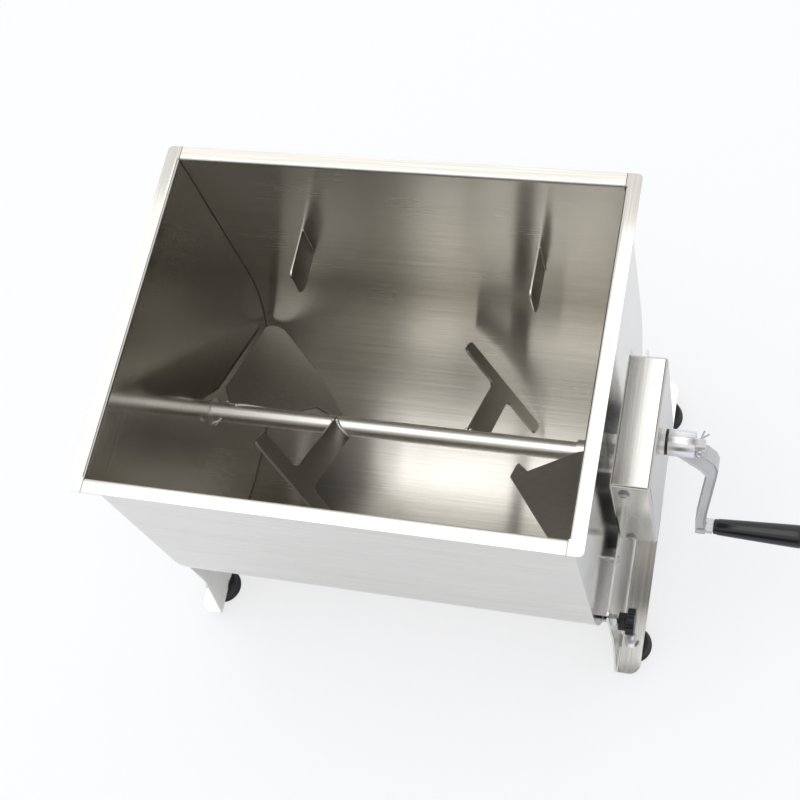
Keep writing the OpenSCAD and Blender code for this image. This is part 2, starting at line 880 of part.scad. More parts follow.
module on_end_paddle() rotate([end_angle, 0, 0]) children();

// The left split pin has its eye to the rear, tilted down clear of the blade, and its legs to the front
module stub_pin_turn() rotate([-90 - stub_pin_tilt, 0, 0]) children();

module mixing_tube() {
    color("gainsboro") placed() at_shaft() difference() {
        rod_x(tube_x0, tube_x1, tube_r);
        rod_x(tube_x0 - 1, tube_x1 + 1, bore_r);
        stub_pin_turn() cross_pin(stub_pin_x, tube_d, cross_pin_d / 2 + fit_clear);
        on_end_paddle() cross_pin(collar_x0 + collar_grip / 2, tube_d, cross_pin_d / 2 + fit_clear);
    }
}

// Left axle: a spigot inside the tube, a journal in the bearing and an outer head
module stub_axle() {
    color("darkgray") placed() at_shaft() difference() {
        union() {
            rod_x(tube_x0, tube_x0 + spigot_len, bore_r - fit_clear);
            rod_x(-bearing_out - pass_clear, tube_x0, tube_r);
            rod_x(-bearing_out - pass_clear - stub_head_t, -bearing_out - pass_clear, stub_head_r);
        }
        stub_pin_turn() cross_pin(stub_pin_x, tube_d, cross_pin_d / 2 + fit_clear);
    }
}

module stub_split_pin() {
    color("lightgray") placed() at_shaft() stub_pin_turn()
        split_pin(stub_pin_x, tube_r, [[0, 50, 0], [0, 18, 0]]);
}

// Right axle: runs in the bearing and carries the large gear
module drive_shaft() {
    color("darkgray") placed() at_shaft() difference() {
        union() {
            rod_x(tube_x1, gear_x0, tube_r);
            rod_x(gear_x0, gear_x1, gear_bore / 2 - fit_clear);
            rod_x(gear_x1, gear_x1 + gear_thread_len, gear_thread_r);
        }
        translate([gear_x0, -key_w / 2, gear_bore / 2 - key_deep]) cube([gear_w, key_w, tube_d]);
        on_end_paddle() cross_pin(collar_x1 - (collar_len - collar_grip) / 2, tube_d,
                                  cross_pin_d / 2 + fit_clear);
    }
}

// Sleeve that joins the tube to the right axle
module drive_collar() {
    color("gainsboro") placed() at_shaft() difference() {
        rod_x(collar_x0, collar_x1, collar_d / 2);
        rod_x(collar_x0 - 1, collar_x1 + 1, tube_r + fit_clear);
        on_end_paddle() collar_pin_places() cross_pin(0, collar_d, cross_pin_d / 2 + fit_clear);
    }
}

module collar_pin_places() {
    for (x = [collar_x0 + collar_grip / 2, collar_x1 - (collar_len - collar_grip) / 2])
        translate([x, 0, 0]) children();
}

module collar_pins() {
    color("lightgray") placed() at_shaft() on_end_paddle() collar_pin_places()
        cross_pin(0, collar_d / 2, cross_pin_d / 2);
}

// Outline of a T paddle: the shaft is on the X axis, the crossbar is further up
module t_outline() {
    r = t_bar_w / 4;
    translate([-t_neck_w / 2, 0]) square([t_neck_w, t_inner + t_bar_w / 2]);
    translate([-t_half, t_inner + r]) square([2 * t_half, t_bar_w - 2 * r]);
    translate([-t_half + r, t_inner]) square([2 * t_half - 2 * r, t_bar_w]);
    for (sx = [-1, 1], y = [t_inner + r, t_inner + t_bar_w - r])
        translate([sx * (t_half - r), y]) circle(r);
    for (side = [0, 1]) mirror([side, 0]) difference() {
        translate([t_neck_w / 2 - 1, t_inner - t_fillet]) square(t_fillet + 1);
        translate([t_neck_w / 2 + t_fillet, t_inner - t_fillet]) circle(t_fillet);
    }
}

module t_paddle(x, angle, pitch) {
    color("silver") at_shaft() difference() {
        translate([x, 0, 0]) rotate([angle, 0, 0]) rotate([0, -pitch, 0])
            linear_extrude(paddle_t, center = true) t_outline();
        rod_x(tube_x0, tube_x1, tube_r + fit_clear);
    }
}
module t_paddle_left() placed() t_paddle(-t_x, t_angle + 180, t_pitch);
module t_paddle_right() placed() t_paddle(t_x, t_angle, -t_pitch);

// Outline of an end paddle: X runs in from its wall edge, Y out from the shaft,
// with a hook at the inner end
module end_outline(reach, root_w) {
    root_r = 4;
    polygon([
        [root_cut_w, root_r], [0, root_cut_r], [0, end_r], [end_tip_w, end_r], [reach, hook_r_out],
        [reach - notch_in / 8, hook_r_in + notch_in / 4], [reach - notch_in / 4, hook_r_in],
        [reach - notch_in, notch_r], [root_w, root_r]
    ]);
}

// Pitched blade beside the left end plate, cut to the round piece it is welded to
module end_paddle(reach, root_w, weld_r) {
    color("silver") difference() {
        rotate([end_angle, 0, 0]) translate([-in_x + end_gap, 0, end_rise]) rotate([0, end_pitch, 0])
            linear_extrude(paddle_t, center = true) end_outline(reach, root_w);
        rod_x(-in_x, 0, weld_r + fit_clear);
    }
}
module end_paddle_left() placed() at_shaft() end_paddle(end_reach_left, end_root_left, tube_r);
module end_paddle_right() placed() at_shaft() rotate([end_angle, 0, 0]) rotate([0, 0, 180])
    rotate([-end_angle, 0, 0]) end_paddle(end_reach, end_root_w, collar_d / 2);

// Gears

// Angle, in degrees, that an involute has turned at a given pressure angle
function involute_turn(a) = tan(a) * 180 / PI - a;

// Half the angle that a tooth takes up at radius r
function tooth_half(r, teeth) =
    let (base = teeth * gear_module / 2 * cos(pressure_angle),
         a = acos(min(1, base / r)))
    (90 - backlash_turn / 2) / teeth + involute_turn(pressure_angle) - involute_turn(a);

// Radii at which a tooth's flank is drawn, from its root to its tip
function flank_radii(teeth) =
    let (pitch = teeth * gear_module / 2, root = pitch - 1.25 * gear_module,
         low = max(root + 0.1, pitch * cos(pressure_angle)), tip = pitch + gear_module)
    [root, low, low + (tip - low) / 3, low + (tip - low) * 2 / 3, tip];

function gear_points(teeth) =
    let (radii = flank_radii(teeth), n = len(radii))
    [for (i = [0:teeth - 1], k = [0:2 * n - 1])
        let (r = radii[k < n ? k : 2 * n - 1 - k], side = k < n ? -1 : 1,
             a = 90 + i * 360 / teeth + side * tooth_half(r, teeth))
        r * [cos(a), sin(a)]];

module main_gear() {
    color("dimgray") placed() at_shaft() difference() {
        plate_x(gear_x0, gear_x1) polygon(gear_points(gear_teeth));
        rod_x(gear_x0 - 1, gear_x1 + 1, gear_bore / 2);
        translate([gear_x0 - 1, -key_w / 2, 0]) cube([gear_w + 2, key_w, gear_bore / 2 + key_deep]);
    }
}

module gear_key() {
    color("lightgray") placed() at_shaft()
        translate([gear_x0, -key_w / 2 + fit_clear, gear_bore / 2 - key_deep])
            cube([gear_w, key_w - 2 * fit_clear, 2 * key_deep - fit_clear]);
}

module gear_nut() {
    color("lightgray") placed() at_shaft() difference() {
        hex_x(gear_x1, gear_x1 + gear_nut_h, gear_nut_af);
        rod_x(gear_x1 - 1, gear_x1 + gear_nut_h + 1, gear_thread_r + fit_clear);
    }
}

// A gap of the pinion faces straight down, where a tooth of the large gear stands
module pinion() {
    color("dimgray") placed() at_crank() difference() {
        union() {
            plate_x(gear_x0, gear_x1) rotate(90 + 180 / pinion_teeth * (pinion_teeth + 1) - 90)
                polygon(gear_points(pinion_teeth));
            rod_x(gear_x1, gear_x1 + pinion_hub_w, pinion_hub_r);
        }
        rod_x(gear_x0 - 1, gear_x1 + pinion_hub_w + 1, crank_shaft_d / 2 + fit_clear);
        translate([gear_x1 + pinion_hub_w / 2, 0, 0]) cylinder(h = 2 * pinion_hub_r, r = grub_r + fit_clear);
    }
}

module pinion_grub_screw() {
    low = crank_shaft_d / 2 + fit_clear;
    color("dimgray") placed() at_crank() translate([gear_x1 + pinion_hub_w / 2, 0, low])
        cylinder(h = pinion_hub_r - low, r = grub_r);
}

// Crank

module crank_shaft() {
    r = crank_shaft_d / 2;
    color("darkgray") placed() on_crank() difference() {
        rod_x(stand_in, crank_shaft_end, r);
        translate([hub_x0, -r, r - flat_deep]) cube([crank_shaft_end - hub_x0 + 1, 2 * r, 2 * r]);
        rotate([90, 0, 0]) cross_pin(split_x, crank_shaft_d, cross_pin_d / 2 + fit_clear);
    }
}

module crank_washer() {
    color("lightgray") placed() at_crank() difference() {
        rod_x(washer_x0, washer_x0 + washer_t, hub_d / 2 - 0.5);
        rod_x(washer_x0 - 1, washer_x0 + washer_t + 1, crank_shaft_d / 2 + fit_clear);
    }
}

// Side view of the crank's arm in XZ: out from the hub to an elbow, then in to the boss
module arm_outline() {
    elbow = hub_x1 + elbow_out;
    low = -crank_r + 2.4 * boss_r;
    polygon([
        [hub_x0 + hub_len * 0.3, -hub_d * 0.3], [hub_x0 + hub_len * 0.6, -hub_d * 0.1],
        [hub_x1, -hub_d * 0.15], [hub_x1 + elbow_out * 0.55, -hub_d * 0.5],
        [hub_x1 + elbow_out * 0.88, -hub_d * 0.88], [elbow + 1, -hub_d * 1.27], [elbow, -hub_d * 1.73],
        [boss_x1, low], [boss_x1, -crank_r], [boss_x0, -crank_r], [boss_x0, low],
        [elbow - arm_t, -hub_d * 1.8]
    ]);
}

module crank_arm() {
    r = crank_shaft_d / 2 + fit_clear;
    color("lightgray") placed() on_crank() difference() {
        union() {
            rod_x(hub_x0, hub_x1, hub_d / 2);
            plate_y(-arm_w / 2, arm_w / 2) arm_outline();
            translate([0, 0, -crank_r]) rod_x(boss_x0, boss_x1, boss_r);
        }
        difference() {
            rod_x(hub_x0 - 1, hub_x1 + 1, r);
            translate([hub_x0 - 2, -r, r - flat_deep]) cube([hub_len + 4, 2 * r, 2 * r]);
        }
        rod_x(hub_x1, crank_shaft_end + 1, crank_shaft_d / 2 + pass_clear);
        translate([0, 0, -crank_r]) rod_x(boss_x0 - 1, boss_x1 + 1, handle_bolt_d / 2 + fit_clear);
    }
}

module crank_split_pin() {
    color("lightgray") placed() on_crank() rotate([90, 0, 0])
        split_pin(split_x, crank_shaft_d / 2, [[0, -50, 0], [0, -15, 0]]);
}

module handle_bolt() {
    color("lightgray") placed() at_grip() {
        rod_x(boss_x0, grip_x1 - bolt_head_h, handle_bolt_d / 2);
        rod_x(grip_x1 - bolt_head_h, grip_x1, bolt_head_r);
    }
}

module handle_nut() {
    color("lightgray") placed() at_grip() difference() {
        hex_x(boss_x1, nut_x1, handle_nut_af);
        rod_x(boss_x1 - 1, nut_x1 + 1, handle_bolt_d / 2 + fit_clear);
    }
}

// Tapered grip that spins on its bolt, with a recess for the bolt's head
module handle_grip() {
    r0 = grip_d_in / 2;
    r1 = grip_d_out / 2;
    e = grip_edge_r;
    color("black") placed() at_grip() difference() {
        translate([grip_x0, 0, 0]) rotate([0, 90, 0]) rotate_extrude() polygon([
            [0, 0], [r0 - e / 2, 0], [r0, e / 2], [r1, grip_len - 2 * e],
            [r1 - e * 0.4, grip_len - e * 0.6], [r1 - e, grip_len], [0, grip_len]
        ]);
        rod_x(grip_x0 - 1, grip_x1, handle_bolt_d / 2 + run_clear);
        rod_x(grip_x1 - grip_recess, grip_x1 + 1, bolt_head_r + pass_clear);
    }
}

trough();
end_plate_left();
end_plate_right();
baffle_left();
baffle_right();
trunnion_left();
trunnion_right();
tilt_stop_tab();
stand_left();
stand_right();
cross_tie();
tie_bolts();
tie_nuts();
bearing_left();
bearing_right();
bearing_screws();
seal_left();
seal_right();
gear_cover();
cover_screws();
cover_bush();
pinion_bush();
foot_front_left();
foot_front_right();
foot_rear_left();
foot_rear_right();
foot_bolts();
foot_nuts();
lock_nut();
tilt_stop_pin();
mixing_tube();
stub_axle();
stub_split_pin();
drive_shaft();
drive_collar();
collar_pins();
t_paddle_left();
t_paddle_right();
end_paddle_left();
end_paddle_right();
main_gear();
gear_key();
gear_nut();
crank_shaft();
pinion();
pinion_grub_screw();
crank_washer();
crank_arm();
crank_split_pin();
handle_bolt();
handle_nut();
handle_grip();
lock_stud();
star_knob();
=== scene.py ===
# %% [markdown]
# A hand-cranked meat mixer: a folded stainless steel tank that tilts between two side stands,
# with paddles inside it and a geared crank at its right end. The exact solids come from the CAD
# model, which stands in this scene as a fixed frame. This file adds what a workshop and years of
# handling add: sheet with a brushed grain, cast and moulded surfaces, rounded edges and weld beads.

# %% Load the CAD frame
import math

import bmesh
import bpy
from mathutils import Matrix, Vector


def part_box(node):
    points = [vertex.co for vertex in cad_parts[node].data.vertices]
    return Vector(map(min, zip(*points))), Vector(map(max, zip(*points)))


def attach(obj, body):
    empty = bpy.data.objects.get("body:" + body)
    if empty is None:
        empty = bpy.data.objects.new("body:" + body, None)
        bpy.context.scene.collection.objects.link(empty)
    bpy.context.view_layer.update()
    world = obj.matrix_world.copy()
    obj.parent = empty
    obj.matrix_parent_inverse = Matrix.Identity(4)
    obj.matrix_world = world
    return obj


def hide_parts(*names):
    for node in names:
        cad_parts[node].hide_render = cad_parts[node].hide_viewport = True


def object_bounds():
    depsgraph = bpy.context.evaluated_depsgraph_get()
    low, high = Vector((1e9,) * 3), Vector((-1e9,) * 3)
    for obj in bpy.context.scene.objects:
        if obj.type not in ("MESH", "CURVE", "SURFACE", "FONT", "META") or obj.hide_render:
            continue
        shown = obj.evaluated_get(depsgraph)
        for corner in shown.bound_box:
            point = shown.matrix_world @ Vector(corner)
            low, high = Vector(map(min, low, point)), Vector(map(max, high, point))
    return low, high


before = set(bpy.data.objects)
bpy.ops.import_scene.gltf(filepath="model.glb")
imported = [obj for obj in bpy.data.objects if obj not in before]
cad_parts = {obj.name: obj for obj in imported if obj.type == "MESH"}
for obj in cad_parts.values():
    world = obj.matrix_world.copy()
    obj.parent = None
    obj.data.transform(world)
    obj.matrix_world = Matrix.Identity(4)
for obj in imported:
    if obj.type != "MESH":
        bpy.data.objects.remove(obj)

MM = 0.001
cad_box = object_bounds()
print("CAD box in metres:", [tuple(round(v, 4) for v in corner) for corner in cad_box])

# %% [markdown]
# The camera stands where the photographer stood, high in front of the mixer and to its right.
# Its place and turn were found by fitting straight edges of the rim and the walls, so it is given
# as three directions (right, up and the way it looks) and not as angles that were tried by eye.

# %% Camera
eye = Vector((0.30435, -0.51560, 1.54790))
look = Vector((-0.2619, 0.3677, -0.8923)).normalized()
above = Vector((-0.1008, 0.9091, 0.4042))
right = look.cross(above).normalized()
above = right.cross(look)
camera_data = bpy.data.cameras.new("photo_camera")
camera_data.lens = 64.61
camera_data.sensor_width = 36.0
camera = bpy.data.objects.new("photo_camera", camera_data)
camera.matrix_world = Matrix.Translation(eye) @ Matrix((right, above, -look)).transposed().to_4x4()
bpy.context.scene.collection.objects.link(camera)
bpy.context.scene.camera = camera
rim_middle = Vector((0, 0, cad_box[1][2]))
print("camera", round((eye - rim_middle).length, 3), "m from the rim")

# %% [markdown]
# A studio packshot on white paper. Sheet steel has no look of its own: it shows the room. So the room
# has two halves, as in a real studio: a white paper sweep fills the left one up to the dim front where
# the camera stands, and the right one has pale walls under a ceiling that is pale in front and dark
# behind. One background shader per kind of ray does this. The camera sees plain white, mirrored rays
# see the two halves, and all other rays get an even, soft light.

# %% Colour, nodes and the studio room
def hex_colour(text):
    """sRGB hex to the linear colour that shaders use."""
    values = [int(text[i:i + 2], 16) / 255 for i in (1, 3, 5)]
    return [v / 12.92 if v <= 0.04045 else ((v + 0.055) / 1.055) ** 2.4 for v in values] + [1.0]


def add_node(tree, kind, links=None, **settings):
    """Adds a node: settings are its properties, links are values or sockets for its inputs."""
    node = tree.nodes.new(kind)
    for name, value in settings.items():
        setattr(node, name, value)
    for name, value in (links or {}).items():
        if isinstance(value, bpy.types.NodeSocket):
            tree.links.new(value, node.inputs[name])
        else:
            node.inputs[name].default_value = value
    return node


even_light = 0.88
paper_sweep = 1.12
pale_walls = 0.85
ceiling_front = 0.80
ceiling_back = 0.05
dim_front = 0.10
scene = bpy.context.scene
scene.view_settings.view_transform = "Standard"
world = bpy.data.worlds.new("white_studio")
scene.world = world
world.use_nodes = True
world.cycles.sampling_method = "NONE"
wt = world.node_tree
wt.nodes.clear()
ray = add_node(wt, "ShaderNodeLightPath")
way = add_node(wt, "ShaderNodeTexCoord")
part = add_node(wt, "ShaderNodeSeparateXYZ", {0: way.outputs["Generated"]})
ceiling = add_node(wt, "ShaderNodeMapRange", {"Value": part.outputs["Y"], "From Min": -0.45, "From Max": -0.25,
                   "To Min": ceiling_front, "To Max": ceiling_back}, interpolation_type="SMOOTHSTEP")
right_half = add_node(wt, "ShaderNodeMapRange", {"Value": part.outputs["Z"], "From Min": 0.68, "From Max": 0.85,
                      "To Min": pale_walls, "To Max": ceiling.outputs[0]}, interpolation_type="SMOOTHSTEP")
left_half = add_node(wt, "ShaderNodeMapRange", {"Value": part.outputs["Y"], "From Min": -0.92, "From Max": -0.72,
                     "To Min": dim_front, "To Max": paper_sweep}, interpolation_type="SMOOTHSTEP")
halves = add_node(wt, "ShaderNodeMapRange", {"Value": part.outputs["X"], "From Min": 0.03, "From Max": 0.20,
                  "To Min": left_half.outputs[0], "To Max": right_half.outputs[0]},
                  interpolation_type="SMOOTHSTEP")
mirrored = add_node(wt, "ShaderNodeMath", {0: ray.outputs["Is Glossy Ray"],
                    1: ray.outputs["Is Transmission Ray"]}, operation="MAXIMUM")
soft = add_node(wt, "ShaderNodeBackground", {"Color": hex_colour("#f4f6fa"), "Strength": even_light})
room = add_node(wt, "ShaderNodeBackground", {"Color": hex_colour("#ffffff"), "Strength": halves.outputs[0]})
paper = add_node(wt, "ShaderNodeBackground", {"Color": hex_colour("#ffffff"), "Strength": 1.0})
lit = add_node(wt, "ShaderNodeMixShader", {0: mirrored.outputs[0], 1: soft.outputs[0], 2: room.outputs[0]})
seen = add_node(wt, "ShaderNodeMixShader", {0: ray.outputs["Is Camera Ray"], 1: lit.outputs[0],
                2: paper.outputs[0]})
add_node(wt, "ShaderNodeOutputWorld", {"Surface": seen.outputs[0]})
print("studio room:", len(wt.nodes), "nodes")

# %% [markdown]
# The lamp is one wide softbox above the tank that shines straight down. Its mirror image brightens the
# bottom of the trough. A large lamp close to the object gives shadows with wide, soft edges.

# %% Softbox
lamp_place = Vector((-0.41, 0.1, 2.15))
lamp_target = Vector((-0.41, 0.1, 0.0))
lamp_data = bpy.data.lights.new("softbox_over_tank", "AREA")
lamp_data.shape = "RECTANGLE"
lamp_data.size, lamp_data.size_y = 1.66, 2.0
lamp_data.energy = 12.5
lamp = bpy.data.objects.new("softbox_over_tank", lamp_data)
lamp_turn = (lamp_target - lamp_place).to_track_quat("-Z", "Y")
lamp.matrix_world = Matrix.Translation(lamp_place) @ lamp_turn.to_matrix().to_4x4()
scene.collection.objects.link(lamp)
print("softbox of", lamp_data.energy, "W")

# %% [markdown]
# The floor is matt white paper. Most of its brightness towards the camera and in mirrored rays is a
# plain white, as in a packshot where the paper is lit by itself, and the rest is real light, so that
# the mixer's soft shadow stays on it.

# %% Paper floor
paper_own_white = 0.67
mirrored_own_white = 0.2
floor_half = 6.0
bm = bmesh.new()
bmesh.ops.create_grid(bm, x_segments=1, y_segments=1, size=floor_half)
floor_mesh = bpy.data.meshes.new("paper_floor")
bm.to_mesh(floor_mesh)
bm.free()
floor = bpy.data.objects.new("paper_floor", floor_mesh)
scene.collection.objects.link(floor)
floor_paint = bpy.data.materials.new("white paper, matt")
floor_paint.use_nodes = True
ft = floor_paint.node_tree
ft.nodes.clear()
path = add_node(ft, "ShaderNodeLightPath")
mirror = add_node(ft, "ShaderNodeMath", {0: path.outputs["Is Glossy Ray"],
                  1: path.outputs["Is Transmission Ray"]}, operation="MAXIMUM")
mirror_share = add_node(ft, "ShaderNodeMath", {0: mirror.outputs[0], 1: mirrored_own_white},
                        operation="MULTIPLY")
share = add_node(ft, "ShaderNodeMath", {0: path.outputs["Is Camera Ray"], 1: paper_own_white,
                 2: mirror_share.outputs[0]}, operation="MULTIPLY_ADD")
sheet = add_node(ft, "ShaderNodeBsdfDiffuse", {"Color": hex_colour("#fafbfe")})
glow = add_node(ft, "ShaderNodeEmission", {"Color": hex_colour("#ffffff"), "Strength": 1.0})
mixed = add_node(ft, "ShaderNodeMixShader", {0: share.outputs[0], 1: sheet.outputs[0], 2: glow.outputs[0]})
add_node(ft, "ShaderNodeOutputMaterial", {"Surface": mixed.outputs[0]})
floor_mesh.materials.append(floor_paint)
print("paper floor, own white", paper_own_white)

# %% [markdown]
# Brushed stainless sheet. The mill draws an abrasive belt along the sheet, which leaves fine
# scratches all in one direction. Along the scratches a reflection stays sharp, and across them it is
# drawn out into long streaks: in the trough a paddle's mirror image becomes a tall dark band. The
# shader calls this anisotropy and stretches along its tangent, so the tangent here is the direction in
# the surface across the grain: the normal crossed with the grain. A noise that is squeezed across the
# grain gives the scratches themselves: they change tone and roughness a little and the normal less.

# %% Brushed sheet
scratch_length = 120
scratch_width = 1.5   # real scratches are finer than 0.1 mm: drawn coarser, so that they show
cloud_size = 90       # grinding and wear change slowly, over about this distance
line_gloss, cloud_gloss = 0.06, 0.10
scratch_depth = 0.008
shaft_h = 210
tank_mid_x = 0.5 * (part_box("trough")[0][0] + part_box("trough")[1][0])
sheet_mid_r = 0.16675
sheet_mid_x = 0.21675
rim_top_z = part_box("trough")[1][2] - 1 * MM
joint_x, joint_half = 0.216, 0.5 * MM
joint_grey = "#8f8c86"


# where the darker painted shade goes: the tank's inner side and its rim
def inside_tank(tree, where):
    """1 on the inner side of the tank's sheet, on all in the tank and on its rim, 0 on its outside."""
    at = add_node(tree, "ShaderNodeSeparateXYZ", {0: where.outputs["Object"]})
    below = add_node(tree, "ShaderNodeMath", {0: at.outputs["Z"], 1: shaft_h * MM}, operation="SUBTRACT")
    below = add_node(tree, "ShaderNodeMath", {0: below.outputs[0], 1: 0.0}, operation="MINIMUM")
    spoke = add_node(tree, "ShaderNodeCombineXYZ", {"Y": at.outputs["Y"], "Z": below.outputs[0]})
    radius = add_node(tree, "ShaderNodeVectorMath", {0: spoke.outputs[0]}, operation="LENGTH")
    in_trough = add_node(tree, "ShaderNodeMath", {0: radius.outputs["Value"], 1: sheet_mid_r},
                         operation="LESS_THAN")
    along = add_node(tree, "ShaderNodeMath", {0: at.outputs["X"], 1: tank_mid_x}, operation="SUBTRACT")
    along = add_node(tree, "ShaderNodeMath", {0: along.outputs[0]}, operation="ABSOLUTE")
    in_ends = add_node(tree, "ShaderNodeMath", {0: along.outputs[0], 1: sheet_mid_x}, operation="LESS_THAN")
    inner = add_node(tree, "ShaderNodeMath", {0: in_trough.outputs[0], 1: in_ends.outputs[0]},
                     operation="MULTIPLY")
    on_rim = add_node(tree, "ShaderNodeMath", {0: at.outputs["Z"], 1: rim_top_z}, operation="GREATER_THAN")
    return add_node(tree, "ShaderNodeMath", {0: inner.outputs[0], 1: on_rim.outputs[0]},
                    operation="MAXIMUM").outputs[0]


def rim_joint(tree, where):
    """1 on the thin lines where the rim's front and back strips are welded to its ends."""
    at = add_node(tree, "ShaderNodeSeparateXYZ", {0: where.outputs["Object"]})
    along = add_node(tree, "ShaderNodeMath", {0: at.outputs["X"], 1: tank_mid_x}, operation="SUBTRACT")
    along = add_node(tree, "ShaderNodeMath", {0: along.outputs[0]}, operation="ABSOLUTE")
    near = add_node(tree, "ShaderNodeMath", {0: along.outputs[0], 1: joint_x, 2: joint_half}, operation="COMPARE")
    on_rim = add_node(tree, "ShaderNodeMath", {0: at.outputs["Z"], 1: rim_top_z}, operation="GREATER_THAN")
    return add_node(tree, "ShaderNodeMath", {0: near.outputs[0], 1: on_rim.outputs[0]},
                    operation="MULTIPLY").outputs[0]


def brushed_sheet(name, colour, grain, rough, stretch, painted_shade=None, lathe=False):
    """grain is the way that the belt ran. Its small slant gives the sheet's cut edges a grain too.
    painted_shade is a darker colour painted on the tank's inner side as the shade inside the tank, and on
    its rim, which then shows grey and not plain white. On a lathe the grain runs round the bar, so a
    reflection is drawn out along it: grain then gives the bar's axis."""
    material = bpy.data.materials.new(name)
    material.use_nodes = True
    tree = material.node_tree
    shader = tree.nodes["Principled BSDF"]
    where = add_node(tree, "ShaderNodeTexCoord")
    pitch = [1 / ((scratch_length if g == 1 else scratch_width) * MM) for g in grain]
    fine = add_node(tree, "ShaderNodeMapping", {"Vector": where.outputs["Object"], "Scale": pitch})
    lines = add_node(tree, "ShaderNodeTexNoise", {"Vector": fine.outputs[0], "Scale": 1.0, "Detail": 3.0,
                     "Roughness": 0.6})
    cloud = add_node(tree, "ShaderNodeTexNoise", {"Vector": where.outputs["Object"],
                     "Scale": 1 / (cloud_size * MM), "Detail": 2.0})
    tone = add_node(tree, "ShaderNodeMapRange", {"Value": lines.outputs[0], "From Min": 0.3, "From Max": 0.7,
                    "To Min": 0.85, "To Max": 1.0})
    sheet = hex_colour(colour)
    if painted_shade:
        # painted shade: the tank's inner side and its rim get the darker colour
        shaded_side = add_node(tree, "ShaderNodeMix", {"Factor": inside_tank(tree, where), "A": sheet,
                             "B": hex_colour(painted_shade)}, data_type="RGBA")
        sheet = add_node(tree, "ShaderNodeMix", {"Factor": rim_joint(tree, where),
                         "A": shaded_side.outputs["Result"], "B": hex_colour(joint_grey)},
                         data_type="RGBA").outputs["Result"]
    tint = add_node(tree, "ShaderNodeMix", {"Factor": 1.0, "A": sheet, "B": tone.outputs[0]},
                    data_type="RGBA", blend_type="MULTIPLY")
    tree.links.new(tint.outputs["Result"], shader.inputs["Base Color"])
    lowest = rough - (line_gloss + cloud_gloss) / 2
    worn = add_node(tree, "ShaderNodeMath", {0: cloud.outputs[0], 1: cloud_gloss, 2: lowest},
                    operation="MULTIPLY_ADD")
    gloss = add_node(tree, "ShaderNodeMath", {0: lines.outputs[0], 1: line_gloss, 2: worn.outputs[0]},
                     operation="MULTIPLY_ADD")
    tree.links.new(gloss.outputs[0], shader.inputs["Roughness"])
    bump = add_node(tree, "ShaderNodeBump", {"Height": lines.outputs[0], "Strength": 0.2,
                    "Distance": scratch_depth * MM})
    tree.links.new(bump.outputs[0], shader.inputs["Normal"])
    belt = add_node(tree, "ShaderNodeVectorTransform", {"Vector": grain}, vector_type="VECTOR",
                    convert_from="OBJECT", convert_to="WORLD")
    tangent = belt.outputs[0]
    if not lathe:
        face = add_node(tree, "ShaderNodeNewGeometry")
        tangent = add_node(tree, "ShaderNodeVectorMath", {0: face.outputs["Normal"], 1: tangent},
                           operation="CROSS_PRODUCT").outputs["Vector"]
    tree.links.new(tangent, shader.inputs["Tangent"])
    shader.inputs["Anisotropic"].default_value = stretch
    shader.inputs["Metallic"].default_value = 1.0
    return material


bar_axis = (1, 0.02, 0.03)
upright_grain = (0.03, 0, 1)
# pale, with tall soft streaks: the paddles' mirror images run up the walls
# the inner side and the rim get a darker colour: painted shade inside the tank
trough_steel = brushed_sheet("stainless sheet, brushed along the trough", "#eeece7", (1, 0, 0.03), rough=0.25,
                             stretch=0.9, painted_shade="#d5d2cb")
# the clearest mirror of the sheets: the shaft shows again in the end wall
# here too the inner side and the rim get the darker painted shade
end_steel = brushed_sheet("stainless sheet, brushed across the end", "#e4e2dd", (0, 1, 0.03), rough=0.13,
                          stretch=0.4, painted_shade="#d5d2cb")
# a bright, even sheen
stand_steel = brushed_sheet("stainless sheet, brushed along the stand", "#f0eeea", (0, 1, 0.03), rough=0.20,
                            stretch=0.3)
# a greyer sheen, so that the box stands out from the tank behind it
cover_steel = brushed_sheet("stainless sheet, brushed along the cover", "#d4d2cd", (0, 1, 0.03), rough=0.18,
                            stretch=0.3)
# dark grey flat shapes with little reflection in front of the bright trough
paddle_steel = brushed_sheet("stainless plate, satin ground", "#a19e98", (1, 0.03, 0), rough=0.30, stretch=0.4)
# one long highlight down the tube, with a soft edge
turned_steel = brushed_sheet("stainless bar, turned", "#efede9", bar_axis, rough=0.35, stretch=0.9, lathe=True)
# a highlight with hard edges, white above and dark below
bright_aluminium = brushed_sheet("aluminium, turned bright", "#f0f0f2", bar_axis, rough=0.22, stretch=0.9,
                                 lathe=True)
# small cool glints on bolts, nuts and pins
zinc_plate = brushed_sheet("steel fasteners, bright zinc", "#d0d2d5", upright_grain, rough=0.22, stretch=0.0)
# grey dots on the cover, each with one glint
screw_zinc = brushed_sheet("steel screws, dulled zinc", "#a5a3a0", upright_grain, rough=0.18, stretch=0.0)
# a weld in the corners of the tank, painted dark as the shade in the corner: a thin dark line
corner_shade_weld = brushed_sheet("stainless weld, ground flush, painted dark as corner shade", "#7d7a74", upright_grain, rough=0.40, stretch=0.0)
# a dark ring between the cover and the hub
black_steel = brushed_sheet("steel washer, blackened", "#3b3b3d", upright_grain, rough=0.34, stretch=0.0)
# bright ripples beside the paddles, and a painted highlight on the guide plates' cut edges
weld_and_edge_highlight_steel = brushed_sheet("stainless weld, brushed clean, and painted edge highlight", "#cfccc6", upright_grain, rough=0.24, stretch=0.0)
print("brushed and turned steels are ready")

# %% [markdown]
# The other materials: the cast aluminium crank has a fine grainy skin, the grip and the star knob
# are moulded black plastic, the feet are matt rubber, and the gears and bushes sit out of sight.

# %% Castings, mouldings, rubber, brass and iron
patch_size = 25
skin_gloss = 0.16


